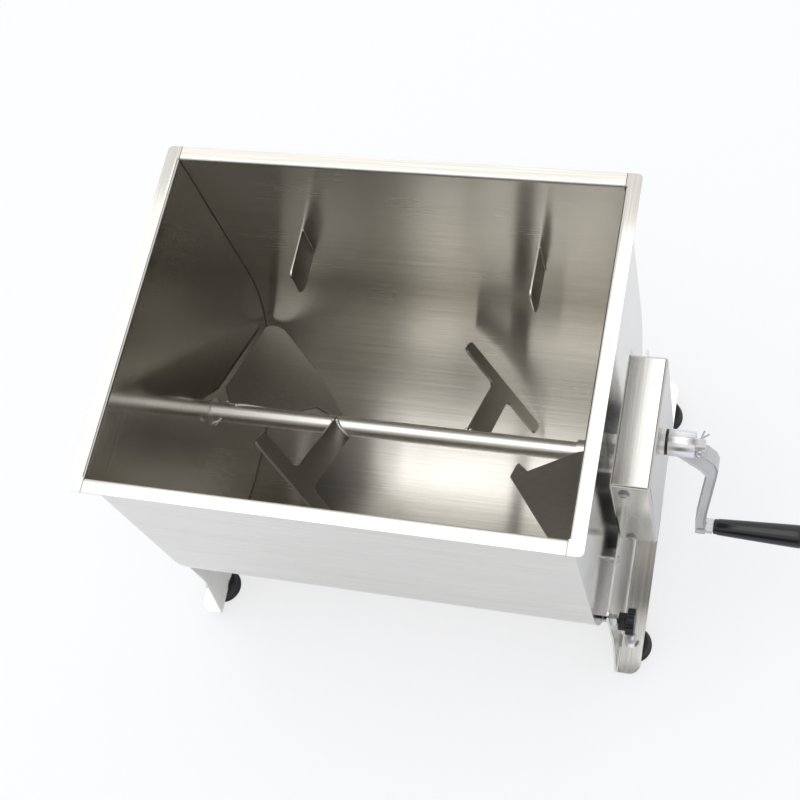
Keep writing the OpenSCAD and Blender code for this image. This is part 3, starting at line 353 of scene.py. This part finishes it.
def grained(name, colour, low, metallic, rough, grain, depth):
    """A surface with an even grain: grain and depth in mm, low is the colour of its darker patches."""
    material = bpy.data.materials.new(name)
    material.use_nodes = True
    tree = material.node_tree
    shader = tree.nodes["Principled BSDF"]
    where = add_node(tree, "ShaderNodeTexCoord")
    skin = add_node(tree, "ShaderNodeTexNoise", {"Vector": where.outputs["Object"],
                    "Scale": 1 / (grain * MM), "Detail": 4.0})
    patch = add_node(tree, "ShaderNodeTexNoise", {"Vector": where.outputs["Object"],
                     "Scale": 1 / (patch_size * MM), "Detail": 2.0})
    mix = add_node(tree, "ShaderNodeMix", {"Factor": patch.outputs[0], "A": hex_colour(low),
                   "B": hex_colour(colour)}, data_type="RGBA")
    tree.links.new(mix.outputs["Result"], shader.inputs["Base Color"])
    gloss = add_node(tree, "ShaderNodeMath", {0: skin.outputs[0], 1: skin_gloss, 2: rough - skin_gloss / 2},
                     operation="MULTIPLY_ADD")
    tree.links.new(gloss.outputs[0], shader.inputs["Roughness"])
    bump = add_node(tree, "ShaderNodeBump", {"Height": skin.outputs[0], "Strength": 0.4, "Distance": depth * MM})
    tree.links.new(bump.outputs[0], shader.inputs["Normal"])
    shader.inputs["Metallic"].default_value = metallic
    return material


# a soft silver with a fine grain
cast_aluminium = grained("aluminium, sand cast and tumbled", "#d6d6d6", "#b9b9ba", metallic=1.0, rough=0.36,
                         grain=0.9, depth=0.06)
# black with one long, clear highlight
grip_plastic = grained("phenolic, moulded and polished", "#1b1b1e", "#131315", metallic=0.0, rough=0.20,
                       grain=0.8, depth=0.01)
# black with a dull sheen
knob_plastic = grained("nylon, moulded, fine texture", "#1a1a1b", "#111112", metallic=0.0, rough=0.42,
                       grain=0.6, depth=0.03)
# matt black, almost without highlights
foot_rubber = grained("rubber, moulded, matt", "#1e1e1f", "#161617", metallic=0.0, rough=0.62,
                      grain=0.7, depth=0.04)
# a warm yellow metal
bush_brass = grained("brass, turned", "#b99a5a", "#a5874c", metallic=1.0, rough=0.28, grain=0.8, depth=0.01)
# a dark grey metal with an oily sheen
gear_iron = grained("cast iron, machined and oiled", "#6b6b6d", "#565658", metallic=1.0, rough=0.36,
                    grain=0.8, depth=0.02)
print("castings, mouldings, rubber, brass and iron are ready")

# %% [markdown]
# Each CAD solid keeps its mesh and gets the finish of the real piece.

# %% Finishes for the CAD nodes
finishes = {
    trough_steel: ["trough"],
    end_steel: ["end_plate_left", "end_plate_right", "trunnion_left", "trunnion_right", "tilt_stop_tab"],
    stand_steel: ["stand_left", "stand_right", "cross_tie"],
    cover_steel: ["gear_cover"],
    paddle_steel: ["t_paddle_left", "t_paddle_right", "end_paddle_left", "end_paddle_right", "baffle_left",
                   "baffle_right"],
    turned_steel: ["mixing_tube", "stub_axle", "drive_shaft", "drive_collar", "crank_shaft", "bearing_left",
                   "bearing_right", "cover_bush"],
    zinc_plate: ["tie_bolts", "tie_nuts", "bearing_screws", "cover_screws", "foot_bolts", "foot_nuts", "lock_nut",
                 "lock_stud", "tilt_stop_pin", "stub_split_pin", "crank_split_pin", "collar_pins", "gear_key",
                 "gear_nut", "pinion_grub_screw", "handle_bolt", "handle_nut"],
    black_steel: ["crank_washer"],
    bush_brass: ["pinion_bush"],
    gear_iron: ["main_gear", "pinion"],
    cast_aluminium: ["crank_arm"],
    grip_plastic: ["handle_grip"],
    knob_plastic: ["star_knob"],
    foot_rubber: ["foot_front_left", "foot_front_right", "foot_rear_left", "foot_rear_right", "seal_left",
                  "seal_right"],
}
for material, names in finishes.items():
    for name in names:
        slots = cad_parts[name].data.materials
        slots.clear()
        slots.append(material)
dressed = sum(len(names) for names in finishes.values())
print(dressed, "of", len(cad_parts), "nodes have a finish")

# %% [markdown]
# New pieces are modelled with bmesh, at their place in the CAD frame. One function gives a place on
# the CAD drawing, in its millimetres, as a place in this scene. Another turns a finished bmesh into an
# object: it merges doubles, points the faces outwards, shades smooth with sharp edges kept, and lets the
# piece ride on its body. Where a piece stands for a CAD solid, that solid is hidden.

# %% From a bmesh to a piece
def spot(x, y, z):
    """A place on the CAD drawing, in mm, as a place in this scene, in metres."""
    return Vector((tank_mid_x + x * MM, y * MM, z * MM))


def make_piece(name, bm, material, body, stands_for=(), sharp=40):
    bmesh.ops.remove_doubles(bm, verts=bm.verts, dist=0.005 * MM)
    bmesh.ops.recalc_face_normals(bm, faces=bm.faces)
    mesh = bpy.data.meshes.new(name)
    bm.to_mesh(mesh)
    bm.free()
    mesh.shade_smooth()
    mesh.set_sharp_from_angle(angle=math.radians(sharp))
    mesh.materials.append(material)
    piece = bpy.data.objects.new(name, mesh)
    scene.collection.objects.link(piece)
    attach(piece, body)
    if stands_for:
        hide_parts(*stands_for)
    print(name, len(mesh.polygons), "faces on", body)
    return piece


def turned(bm, profile, base, axis, steps=40, closed=True):
    """Spins a profile of (along, radius) points, in mm, about an axis through base, as on a lathe."""
    side = Vector((0, 0, 1)) if abs(axis.z) < 0.5 else Vector((1, 0, 0))
    line = [bm.verts.new(base + axis * along * MM + side * radius * MM) for along, radius in profile]
    pairs = list(zip(line, line[1:] + line[:1]))
    edges = [bm.edges.new(pair) for pair in (pairs if closed else pairs[:-1])]
    bmesh.ops.spin(bm, geom=line + edges, cent=base, axis=axis, angle=2 * math.pi, steps=steps, use_merge=True)


shaft_way = Vector((1, 0, 0))
upright = Vector((0, 0, 1))
print("the shaft's middle:", tuple(round(v, 4) for v in spot(0, 0, shaft_h)))

# %% [markdown]
# The gear cover is one sheet folded to a box that is open towards the stand. A folded edge is never
# sharp: it has a bend radius of about twice the sheet. So a cube loses its open side, two cuts make the
# step where its upper part passes over the stand, all folds are bevelled round, the crank shaft's bush
# gets its hole, and Solidify gives the sheet its thickness inwards.

# %% Folded gear cover
cover_low, cover_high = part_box("gear_cover")
cover_step = 2 * MM
cover_step_z = 175.4 * MM
fold_radius = 3 * MM
cover_sheet = 1.5 * MM
bush_radius = 9.02 * MM
crank_z = 262.5
bm = bmesh.new()
bmesh.ops.create_cube(bm, size=1.0)
bmesh.ops.scale(bm, vec=cover_high - cover_low, verts=bm.verts)
bmesh.ops.translate(bm, vec=(cover_low + cover_high) / 2, verts=bm.verts)
bm.normal_update()
bmesh.ops.delete(bm, geom=[f for f in bm.faces if f.normal.x < -0.9], context="FACES")
for cut, facing in ((upright * cover_step_z, upright), (shaft_way * (cover_low.x + cover_step), shaft_way)):
    bmesh.ops.bisect_plane(bm, geom=bm.verts[:] + bm.edges[:] + bm.faces[:], plane_co=cut, plane_no=facing)
middles = {f: f.calc_center_median() for f in bm.faces}
below = [f for f, m in middles.items() if m.z < cover_step_z and m.x < cover_low.x + cover_step]
bmesh.ops.delete(bm, geom=below, context="FACES")
bm.normal_update()
folds = [e for e in bm.edges if len(e.link_faces) == 2 and e.calc_face_angle() > 1.0]
bmesh.ops.bevel(bm, geom=folds, offset=fold_radius, offset_type="OFFSET", segments=5, profile=0.5,
                affect="EDGES", material=-1)
bm.normal_update()
panel = max((f for f in bm.faces if f.normal.x > 0.99), key=lambda f: f.calc_area())
panel_edges = panel.edges[:]
bmesh.ops.delete(bm, geom=[panel], context="FACES_ONLY")
across_shaft = Matrix.Rotation(math.radians(90), 4, "Y")
hole_place = Matrix.Translation((cover_high.x, 0, crank_z * MM)) @ across_shaft
hole = bmesh.ops.create_circle(bm, segments=40, radius=bush_radius, matrix=hole_place)["verts"]
hole_edges = list(dict.fromkeys(e for v in hole for e in v.link_edges))
bmesh.ops.triangle_fill(bm, edges=panel_edges + hole_edges, use_beauty=True)
cover = make_piece("folded_gear_cover", bm, cover_steel, "stand", ["gear_cover"])
cover_wall = cover.modifiers.new("sheet thickness", "SOLIDIFY")
cover_wall.thickness = cover_sheet
cover_wall.offset = -1.0
cover_shade = cover.modifiers.new("flat panels", "WEIGHTED_NORMAL")
cover_shade.keep_sharp = True

# %% [markdown]
# The crank is a casting: its arm leaves the hub, turns down at a rounded elbow and ends in a boss for the
# grip's bolt. A casting has no sharp edge and no hard joint, because metal can't fill one. The arm is
# extruded from its side view, its two sides are inset and pushed in so that raised edges remain, and
# the boss is added. A voxel remesh then fuses them to one skin, and smoothing rubs its edges round.

# %% Cast crank arm
crank_turn = Matrix.Translation(spot(0, 0, crank_z)) @ Matrix.Rotation(math.radians(-8), 4, "X")
arm_width = 16
arm_rib, arm_hollow = 2.2, 1.3
boss_place, boss_radius, boss_length = Vector((299.4, 0, -165)), 9.3, 10
side_view = [(274, -9), (284, -2.6), (294.4, -3.9), (306, -12), (313.5, -22), (316.4, -33), (315.4, -45),
             (304.4, -142), (304.4, -165), (294.4, -165), (294.4, -142), (305, -47), (299, -36)]


def verts_of(geom):
    """The vertices in what a bmesh operator gives back."""
    return [v for v in geom if isinstance(v, bmesh.types.BMVert)]


def thicken(bm, faces, way):
    """Extrudes faces along way and gives back the new vertices."""
    grown = verts_of(bmesh.ops.extrude_face_region(bm, geom=faces)["geom"])
    bmesh.ops.translate(bm, vec=way, verts=grown)
    return grown


def fuse(piece, voxel, rounds):
    """Remeshes a piece's overlapping shells to one skin, rubs it smooth and keeps the result as its mesh."""
    skin = piece.modifiers.new("one skin", "REMESH")
    skin.mode = "VOXEL"
    skin.voxel_size = voxel * MM
    skin.use_smooth_shade = True
    rub = piece.modifiers.new("rubbed", "SMOOTH")
    rub.factor = 0.5
    rub.iterations = rounds
    fused = bpy.data.meshes.new_from_object(piece.evaluated_get(bpy.context.evaluated_depsgraph_get()))
    piece.modifiers.clear()
    piece.data = fused
    print(piece.name, "is one skin of", len(fused.polygons), "faces")


bm = bmesh.new()
arm_face = bm.faces.new([bm.verts.new(Vector((x, -arm_width / 2, z)) * MM) for x, z in side_view])
thicken(bm, [arm_face], Vector((0, arm_width * MM, 0)))
bmesh.ops.recalc_face_normals(bm, faces=bm.faces)
sides = [f for f in bm.faces if abs(f.normal.y) > 0.9]
bmesh.ops.inset_region(bm, faces=sides, thickness=arm_rib * MM, depth=-arm_hollow * MM, use_even_offset=True)
bmesh.ops.create_cone(bm, cap_ends=True, segments=40, radius1=boss_radius * MM, radius2=boss_radius * MM,
                      depth=boss_length * MM, matrix=Matrix.Translation(boss_place * MM) @ across_shaft)
bmesh.ops.transform(bm, matrix=crank_turn, verts=bm.verts)
arm = make_piece("cast_crank_arm", bm, cast_aluminium, "crank", ["crank_arm"])
fuse(arm, voxel=0.5, rounds=4)

# %% [markdown]
# The hub is turned bright after casting, with broken edges at both ends, so it shows the studio almost
# as a mirror: white above and a dark line where it sees the dim front. A lathe makes it, so its profile
# is spun round the crank shaft.

# %% Turned hub
hub_start, hub_length, hub_radius, hub_bore = 268.4, 26, 13, 6.02
hub_profile = [(0, hub_bore), (0, hub_radius - 1.2), (0.35, hub_radius - 0.35), (1.2, hub_radius),
               (hub_length - 1.2, hub_radius), (hub_length - 0.35, hub_radius - 0.35),
               (hub_length, hub_radius - 1.2), (hub_length, hub_bore)]
bm = bmesh.new()
turned(bm, hub_profile, spot(hub_start, 0, crank_z), shaft_way, steps=64)
make_piece("turned_hub", bm, bright_aluminium, "crank")

# %% [markdown]
# The grip is a tapered plastic handle that spins on its bolt. Mouldings have rounded ends and a little
# bead where the two halves of the mould met the core. Its profile is drawn once, with the bore and the
# recess for the bolt's head, and spun to a full turn.

# %% Moulded grip
grip_axis_y, grip_axis_z = -22.963, 99.106
grip_start = 312.3
grip_profile = [(0, 4.05), (0, 6.4), (0.2, 7.3), (0.9, 7.9), (2.0, 8.1), (3.2, 8.0), (3.6, 7.9), (4.0, 8.2),
                (5.0, 8.6), (30, 9.75), (60, 11.05), (80, 11.85), (86, 12.0), (88.5, 11.8), (90.4, 11.1),
                (91.5, 10.0), (92, 8.6), (92, 7.3), (91.6, 6.92), (87, 6.9), (87, 4.05)]
bm = bmesh.new()
turned(bm, grip_profile, spot(grip_start, grip_axis_y, grip_axis_z), shaft_way, steps=56)
make_piece("moulded_grip", bm, grip_plastic, "grip", ["handle_grip"])

# %% [markdown]
# The star knob has five lobes that fingers can turn, on a fluted stem. The lobes and the core are plain
# drums that a voxel remesh melts into one moulded head. The stem's flutes are finer than that: two of
# every four vertices of a circle are drawn in, and the outline is extruded.

# %% Star knob
lock_y, lock_z = -146, 135
stem_start, stem_length, stem_radius = 233.5, 8, 8.9
head_start, head_length, head_radius, lobe_radius, lobes = 241.5, 8, 9.57, 4.9, 5
flutes, flute_depth, stem_edge = 22, 0.55, 0.3


def rim_edges(bm, axis):
    """The edges round the two faces of a plate that is thick along axis: 0 for x, 2 for z."""
    return [e for e in bm.edges if abs(e.verts[0].co[axis] - e.verts[1].co[axis]) < 0.001 * MM]


def break_edges(bm, edges, size):
    """Takes the sharpness off edges with a small round bevel, size in mm."""
    bmesh.ops.bevel(bm, geom=edges, offset=size * MM, offset_type="OFFSET", segments=2, profile=0.5,
                    affect="EDGES", material=-1)


bm = bmesh.new()
head_mid = Matrix.Translation(spot(head_start + head_length / 2, lock_y, lock_z))
drum = {"cap_ends": True, "segments": 40, "depth": head_length * MM}
bmesh.ops.create_cone(bm, radius1=head_radius * MM, radius2=head_radius * MM,
                      matrix=head_mid @ across_shaft, **drum)
for i in range(lobes):
    lobe = Matrix.Rotation(2 * math.pi * i / lobes, 4, "X") @ Matrix.Translation((0, 0, head_radius * MM))
    bmesh.ops.create_cone(bm, radius1=lobe_radius * MM, radius2=lobe_radius * MM,
                          matrix=head_mid @ lobe @ across_shaft, **drum)
knob = make_piece("star_knob_head", bm, knob_plastic, "lock_knob", ["star_knob"])
fuse(knob, voxel=0.45, rounds=3)
bm = bmesh.new()
stem_mid = spot(stem_start, lock_y, lock_z)
stem_round = bmesh.ops.create_circle(bm, cap_ends=True, segments=4 * flutes, radius=stem_radius * MM,
                                     matrix=Matrix.Translation(stem_mid) @ across_shaft)["verts"]
for i, v in enumerate(stem_round):
    v.co = stem_mid + (v.co - stem_mid) * (1 - (i % 4 < 2) * flute_depth / stem_radius)
thicken(bm, bm.faces[:], shaft_way * stem_length * MM)
bmesh.ops.recalc_face_normals(bm, faces=bm.faces)
break_edges(bm, rim_edges(bm, 0), stem_edge)
make_piece("star_knob_stem", bm, knob_plastic, "lock_knob")

# %% [markdown]
# Each foot is a moulded rubber buffer: a wide ring that grips the table, a shallow groove round its side
# and a round shoulder under the stand. It is a lathe shape too. The profile starts and ends on the axis,
# so it is left open, and the doubles that meet at the two poles are merged.

# %% Rubber feet
foot_profile = [(0.6, 0), (0.6, 13.5), (0, 14.4), (0, 18.4), (0.5, 19.7), (1.6, 20.4), (3.2, 20.4), (6.6, 19.7),
                (7.0, 19.2), (8.0, 19.1), (8.4, 19.4), (15.6, 17.8), (17.0, 17.2), (18.0, 16.3), (18.4, 15.2),
                (18.4, 0)]
foot_rows = (("front", -135), ("rear", 135))
foot_sides = (("left", -238.5), ("right", 238.5))
for depth_name, foot_y in foot_rows:
    for side_name, foot_x in foot_sides:
        bm = bmesh.new()
        turned(bm, foot_profile, spot(foot_x, foot_y, 0), upright, steps=56, closed=False)
        make_piece(f"rubber_foot_{depth_name}_{side_name}", bm, foot_rubber, "stand",
                   [f"foot_{depth_name}_{side_name}"])

# %% [markdown]
# Nuts are chamfered where the spanner goes on, so their corners catch the light. A hexagon and a bore are
# filled to a flat ring, extruded, and the outer corners are bevelled. Bolt ends show their thread:
# a row of ridges, spun from a zigzag profile, stands for the fine helix, which the eye can't follow at
# this size.

# %% Nuts and threaded ends
def hex_nut(bm, base, axis, flats, height, bore, turn=0):
    """flats is the width across the flats, in mm, and turn turns the nut on its axis, in degrees."""
    place = Matrix.Translation(base) @ axis.to_track_quat("Z", "Y").to_matrix().to_4x4()
    place = place @ Matrix.Rotation(math.radians(turn), 4, "Z")
    corners = bmesh.ops.create_circle(bm, segments=6, radius=flats / math.sqrt(3) * MM, matrix=place)["verts"]
    hole = bmesh.ops.create_circle(bm, segments=24, radius=bore / 2 * MM, matrix=place)["verts"]
    edges = list(dict.fromkeys(e for v in corners + hole for e in v.link_edges))
    plate = bmesh.ops.triangle_fill(bm, edges=edges, use_beauty=True)["geom"]
    rise = axis * height * MM
    top = thicken(bm, [f for f in plate if isinstance(f, bmesh.types.BMFace)], rise)
    tops = [v for v in top if (v.co - base - rise).length > 0.52 * flats * MM]
    bmesh.ops.bevel(bm, geom=corners + tops, offset=0.14 * flats * MM, offset_type="OFFSET", segments=2,
                    profile=0.5, affect="VERTICES", material=-1)


def thread(start, end, radius, pitch):
    """A zigzag profile from start to end, in mm, for a threaded end."""
    ridges = int((end - start) / pitch)
    zigzag = [(start + (i + half / 2) * pitch, radius - (0 if half else 0.3 * pitch))
              for i in range(ridges) for half in (0, 1)]
    return zigzag + [(end - 0.1, radius - 0.4 * pitch), (end, radius - 0.8 * pitch)]


stand_top = 20.5
bolt_low, bolt_thread, bolt_top, bolt_radius, bolt_pitch = 4, 12, 32.5, 4, 1.25
bolt_profile = ([(bolt_low, 0), (bolt_low, bolt_radius - 0.1)]
                + thread(bolt_thread, bolt_top, bolt_radius, bolt_pitch) + [(bolt_top, 0)])
bolts, nuts = bmesh.new(), bmesh.new()
for _, foot_x in foot_sides:
    for _, foot_y in foot_rows:
        turned(bolts, bolt_profile, spot(foot_x, foot_y, 0), upright, steps=28, closed=False)
        hex_nut(nuts, spot(foot_x, foot_y, stand_top), upright, flats=13, height=8, bore=2 * bolt_radius, turn=90)
make_piece("foot_bolts_threaded", bolts, zinc_plate, "stand", ["foot_bolts"])
make_piece("foot_nuts_chamfered", nuts, zinc_plate, "stand", ["foot_nuts"], sharp=25)
bm = bmesh.new()
grip_nut_x = 304.4
hex_nut(bm, spot(grip_nut_x, grip_axis_y, grip_axis_z), shaft_way, flats=14, height=7.5, bore=8.04)
make_piece("grip_nut_chamfered", bm, zinc_plate, "crank", ["handle_nut"], sharp=25)
bm = bmesh.new()
lock_nut_x = 227
hex_nut(bm, spot(lock_nut_x, lock_y, lock_z), shaft_way, flats=10.5, height=5, bore=6.1)
make_piece("lock_nut_chamfered", bm, zinc_plate, "stand", ["lock_nut"], sharp=25)
bm = bmesh.new()
stud_start, stud_length, stud_radius, stud_tip = 217.9, 27.5, 3, 2.4
stud_profile = ([(0, 0), (0, stud_tip)] + thread(0.4, stud_length, stud_radius, pitch=1.0)
                + [(stud_length, 0)])
turned(bm, stud_profile, spot(stud_start, lock_y, lock_z), shaft_way, steps=28, closed=False)
make_piece("lock_stud_threaded", bm, zinc_plate, "lock_screw", ["lock_stud"])

# %% [markdown]
# Four pan-head screws hold the cover on the stand, each with a washer under its head. Head, washer and
# shank are one profile on the lathe, with a rounded dome that holds one small highlight.

# %% Cover screws
screw_profile = [(-9, 0), (-9, 2.4), (0, 2.4), (0, 5.5), (0.25, 5.6), (0.7, 5.6), (0.95, 5.4), (0.95, 4.5),
                 (1.1, 4.6), (1.6, 4.6), (2.3, 4.3), (2.9, 3.5), (3.25, 2.3), (3.35, 1.2), (2.5, 0.9), (2.4, 0)]
screw_x, screw_heights, cover_half = 237, (166.5, 289.5), 67
bm = bmesh.new()
for screw_z in screw_heights:
    for outwards in (-1, 1):
        turned(bm, screw_profile, spot(screw_x, outwards * cover_half, screw_z), Vector((0, outwards, 0)),
               steps=32, closed=False)
make_piece("cover_screws_domed", bm, screw_zinc, "stand", ["cover_screws"])

# %% [markdown]
# Welds hold the paddles on the tube and the guide plates on the back wall. A weld bead is a row of small
# overlapping ripples, one for each dip of the filler rod. So each bead is a row of little round drops
# along the line where the two metals meet. For a paddle that line is worked out: it is where the two
# faces of the pitched plate cut the round tube.

# %% Weld beads
plate_half = 1.5
drop_step, drop_size = 2.3, 2.4
tube_radius, collar_radius = 10, 12.5
shaft_place = spot(0, 0, shaft_h)


def weld_drops(bm, points, size):
    for point in points:
        bmesh.ops.create_icosphere(bm, subdivisions=2, radius=size * MM, matrix=Matrix.Translation(point))


def plate_weld(bm, place, first, last, offset, pitch, tube):
    """Drops on both faces of a plate. place is the plate's frame: x along its root, y outwards, z across it.
    offset is the plate's distance beside the axis at x = 0, pitch its slope along the tube in radians."""
    steps = int((last - first) / drop_step)
    for face_z in (-plate_half, plate_half):
        line = []
        for i in range(steps + 1):
            x = first + (last - first) * i / steps
            beside = offset + x * math.sin(pitch) + face_z * math.cos(pitch)
            if abs(beside) < tube:
                line.append(place @ Vector((x * MM, math.sqrt(tube ** 2 - beside ** 2) * MM, face_z * MM)))
        weld_drops(bm, line, drop_size)


neck_half = 12
bm = bmesh.new()
for t_x, t_turn, t_pitch in ((-70, 138, 50), (70, -42, -50)):
    t_place = Matrix.Translation(spot(t_x, 0, shaft_h)) @ Matrix.Rotation(math.radians(t_turn), 4, "X")
    t_place = t_place @ Matrix.Rotation(math.radians(-t_pitch), 4, "Y")
    plate_weld(bm, t_place, -neck_half, neck_half, 0, math.radians(t_pitch), tube_radius)
blade_x, blade_beside, blade_pitch, blade_turn = -212, 12, math.radians(10), math.radians(-32)
end_turn = Matrix.Rotation(blade_turn, 4, "X")
blade = Matrix.Translation((blade_x * MM, 0, blade_beside * MM)) @ Matrix.Rotation(blade_pitch, 4, "Y")
left_place = Matrix.Translation(shaft_place) @ end_turn @ blade
half_turn = end_turn @ Matrix.Rotation(math.pi, 4, "Z") @ end_turn.inverted()
right_place = Matrix.Translation(shaft_place) @ half_turn @ end_turn @ blade
for place, last, round_bar in ((left_place, 67, tube_radius), (right_place, 24, collar_radius)):
    plate_weld(bm, place, 15, last, blade_beside, -blade_pitch, round_bar)
make_piece("paddle_welds", bm, weld_and_edge_highlight_steel, "mixing_shaft", sharp=180)
guide_sides = (("left", -123.5), ("right", 123.5))
guide_weld_low, guide_weld_y, guide_drops, guide_drop_step, guide_drop_size = 277, 165.7, 39, 1.2, 1.3
bm = bmesh.new()
for _, guide_x in guide_sides:
    for beside in (-1.2, 1.2):
        weld_drops(bm, [spot(guide_x + beside, guide_weld_y, guide_weld_low + guide_drop_step * i)
                        for i in range(guide_drops)], guide_drop_size)
make_piece("guide_plate_welds", bm, weld_and_edge_highlight_steel, "tank", sharp=180)

# %% [markdown]
# Two guide plates stand on the back wall and throw the meat back to the middle. Each is a plate cut with
# a small round at its upper free corner and a large one at its lower free corner, so that nothing catches
# on it. A bevel on the corner points of one face makes both rounds before the face is extruded. The cut
# edge all round was ground, and it is painted brighter than the plate's faces as the highlight along it.

# %% Guide plates
trough_radius = 166
guide_out, guide_top, guide_low, guide_half, guide_edge = 111, 324, 276, 1.0, 0.3
guide_rounds = ((guide_top, 7), (guide_low, 18))
for side_name, guide_x in guide_sides:
    bm = bmesh.new()
    face_x = guide_x - guide_half
    outline = [(trough_radius, guide_top), (guide_out, guide_top), (guide_out, guide_low),
               (trough_radius, guide_low)]
    bm.faces.new([bm.verts.new(spot(face_x, y, z)) for y, z in outline])
    for corner_z, round_size in guide_rounds:
        corner = spot(face_x, guide_out, corner_z)
        free_corner = [v for v in bm.verts if (v.co - corner).length < 0.1 * MM]
        bmesh.ops.bevel(bm, geom=free_corner, offset=round_size * MM, offset_type="OFFSET", segments=10,
                        profile=0.5, affect="VERTICES", material=-1)
    thicken(bm, bm.faces[:], shaft_way * 2 * guide_half * MM)
    bmesh.ops.recalc_face_normals(bm, faces=bm.faces)
    break_edges(bm, rim_edges(bm, 0), guide_edge)
    guide = make_piece("guide_plate_" + side_name, bm, paddle_steel, "tank",
                       ["baffle_" + side_name], sharp=30)
    # the cut edges get the brighter weld steel: a painted highlight along them
    guide.data.materials.append(weld_and_edge_highlight_steel)
    for face in guide.data.polygons:
        face.material_index = int(abs(face.normal.x) < 0.9)

# %% [markdown]
# The left end paddle is a plate that was cut with a rounded tip and a bowed inner edge. Its outline starts
# from its corners, the long edge is subdivided, and each new point moves out by a parabola, as a bent
# spline would be drawn on the sheet. Then it is extruded and its edges are broken with a small bevel.

# %% Left end paddle with a bowed edge
blade_corners = [(14, 4), (0, 28), (0, 152), (2, 157), (7, 160), (14, 160), (21, 157), (131, 34), (128, 24),
                 (102, 35), (68, 4)]
bow, blade_edge = 3, 0.4
bm = bmesh.new()
corners = [bm.verts.new(Vector((x, y, -plate_half)) * MM) for x, y in blade_corners]
bm.faces.new(corners)
long_edge = corners[6:8]
bow_start, bow_end = (v.co.copy() for v in long_edge)
bow_way = bow_end - bow_start
bow_out = Vector((-bow_way.y, bow_way.x, 0)).normalized()
bowed = bmesh.ops.subdivide_edges(bm, edges=[bm.edges.get(long_edge)], cuts=14)["geom_inner"]
for v in verts_of(bowed):
    t = (v.co - bow_start).dot(bow_way) / bow_way.length_squared
    v.co += bow_out * bow * MM * 4 * t * (1 - t)
thicken(bm, bm.faces[:], upright * 2 * plate_half * MM)
bmesh.ops.recalc_face_normals(bm, faces=bm.faces)
break_edges(bm, rim_edges(bm, 2), blade_edge)
bmesh.ops.transform(bm, matrix=left_place, verts=bm.verts)
make_piece("bowed_end_paddle", bm, paddle_steel, "mixing_shaft", ["end_paddle_left"], sharp=15)

# %% [markdown]
# In the corners where the end plates meet the trough, a smooth ground weld closes the tank, so that no
# meat stays in a gap. Its section has only a few points. It is extruded down the front wall, spun under
# the shaft along the round bottom and extruded up the back wall.

# %% Corner seams in the tank
seam_size = 1.2
seam_top, end_x = 443.0, 216
section = [(0, 0), (seam_size, 0), (0.42 * seam_size, 0.12 * seam_size), (0.12 * seam_size, 0.42 * seam_size),
           (0, seam_size)]


def edges_of(geom):
    """The edges in what a bmesh operator gives back."""
    return [e for e in geom if isinstance(e, bmesh.types.BMEdge)]


bm = bmesh.new()
for side in (-1, 1):
    line = [bm.verts.new(spot(side * (end_x - a), -trough_radius + b, seam_top)) for a, b in section]
    edges = [bm.edges.new(pair) for pair in zip(line, line[1:] + line[:1])]
    first = bmesh.ops.extrude_edge_only(bm, edges=edges)["geom"]
    low_verts = verts_of(first)
    bmesh.ops.translate(bm, vec=upright * (shaft_h - seam_top) * MM, verts=low_verts)
    last = bmesh.ops.spin(bm, geom=low_verts + edges_of(first), cent=shaft_place, axis=shaft_way,
                          angle=math.pi, steps=60)["geom_last"]
    up = bmesh.ops.extrude_edge_only(bm, edges=edges_of(last))["geom"]
    bmesh.ops.translate(bm, vec=upright * (seam_top - shaft_h) * MM, verts=verts_of(up))
bmesh.ops.holes_fill(bm, edges=[e for e in bm.edges if e.is_boundary], sides=0)
# the seam's dark colour is painted shade in the tank's corners
make_piece("tank_corner_seams", bm, corner_shade_weld, "tank", sharp=60)
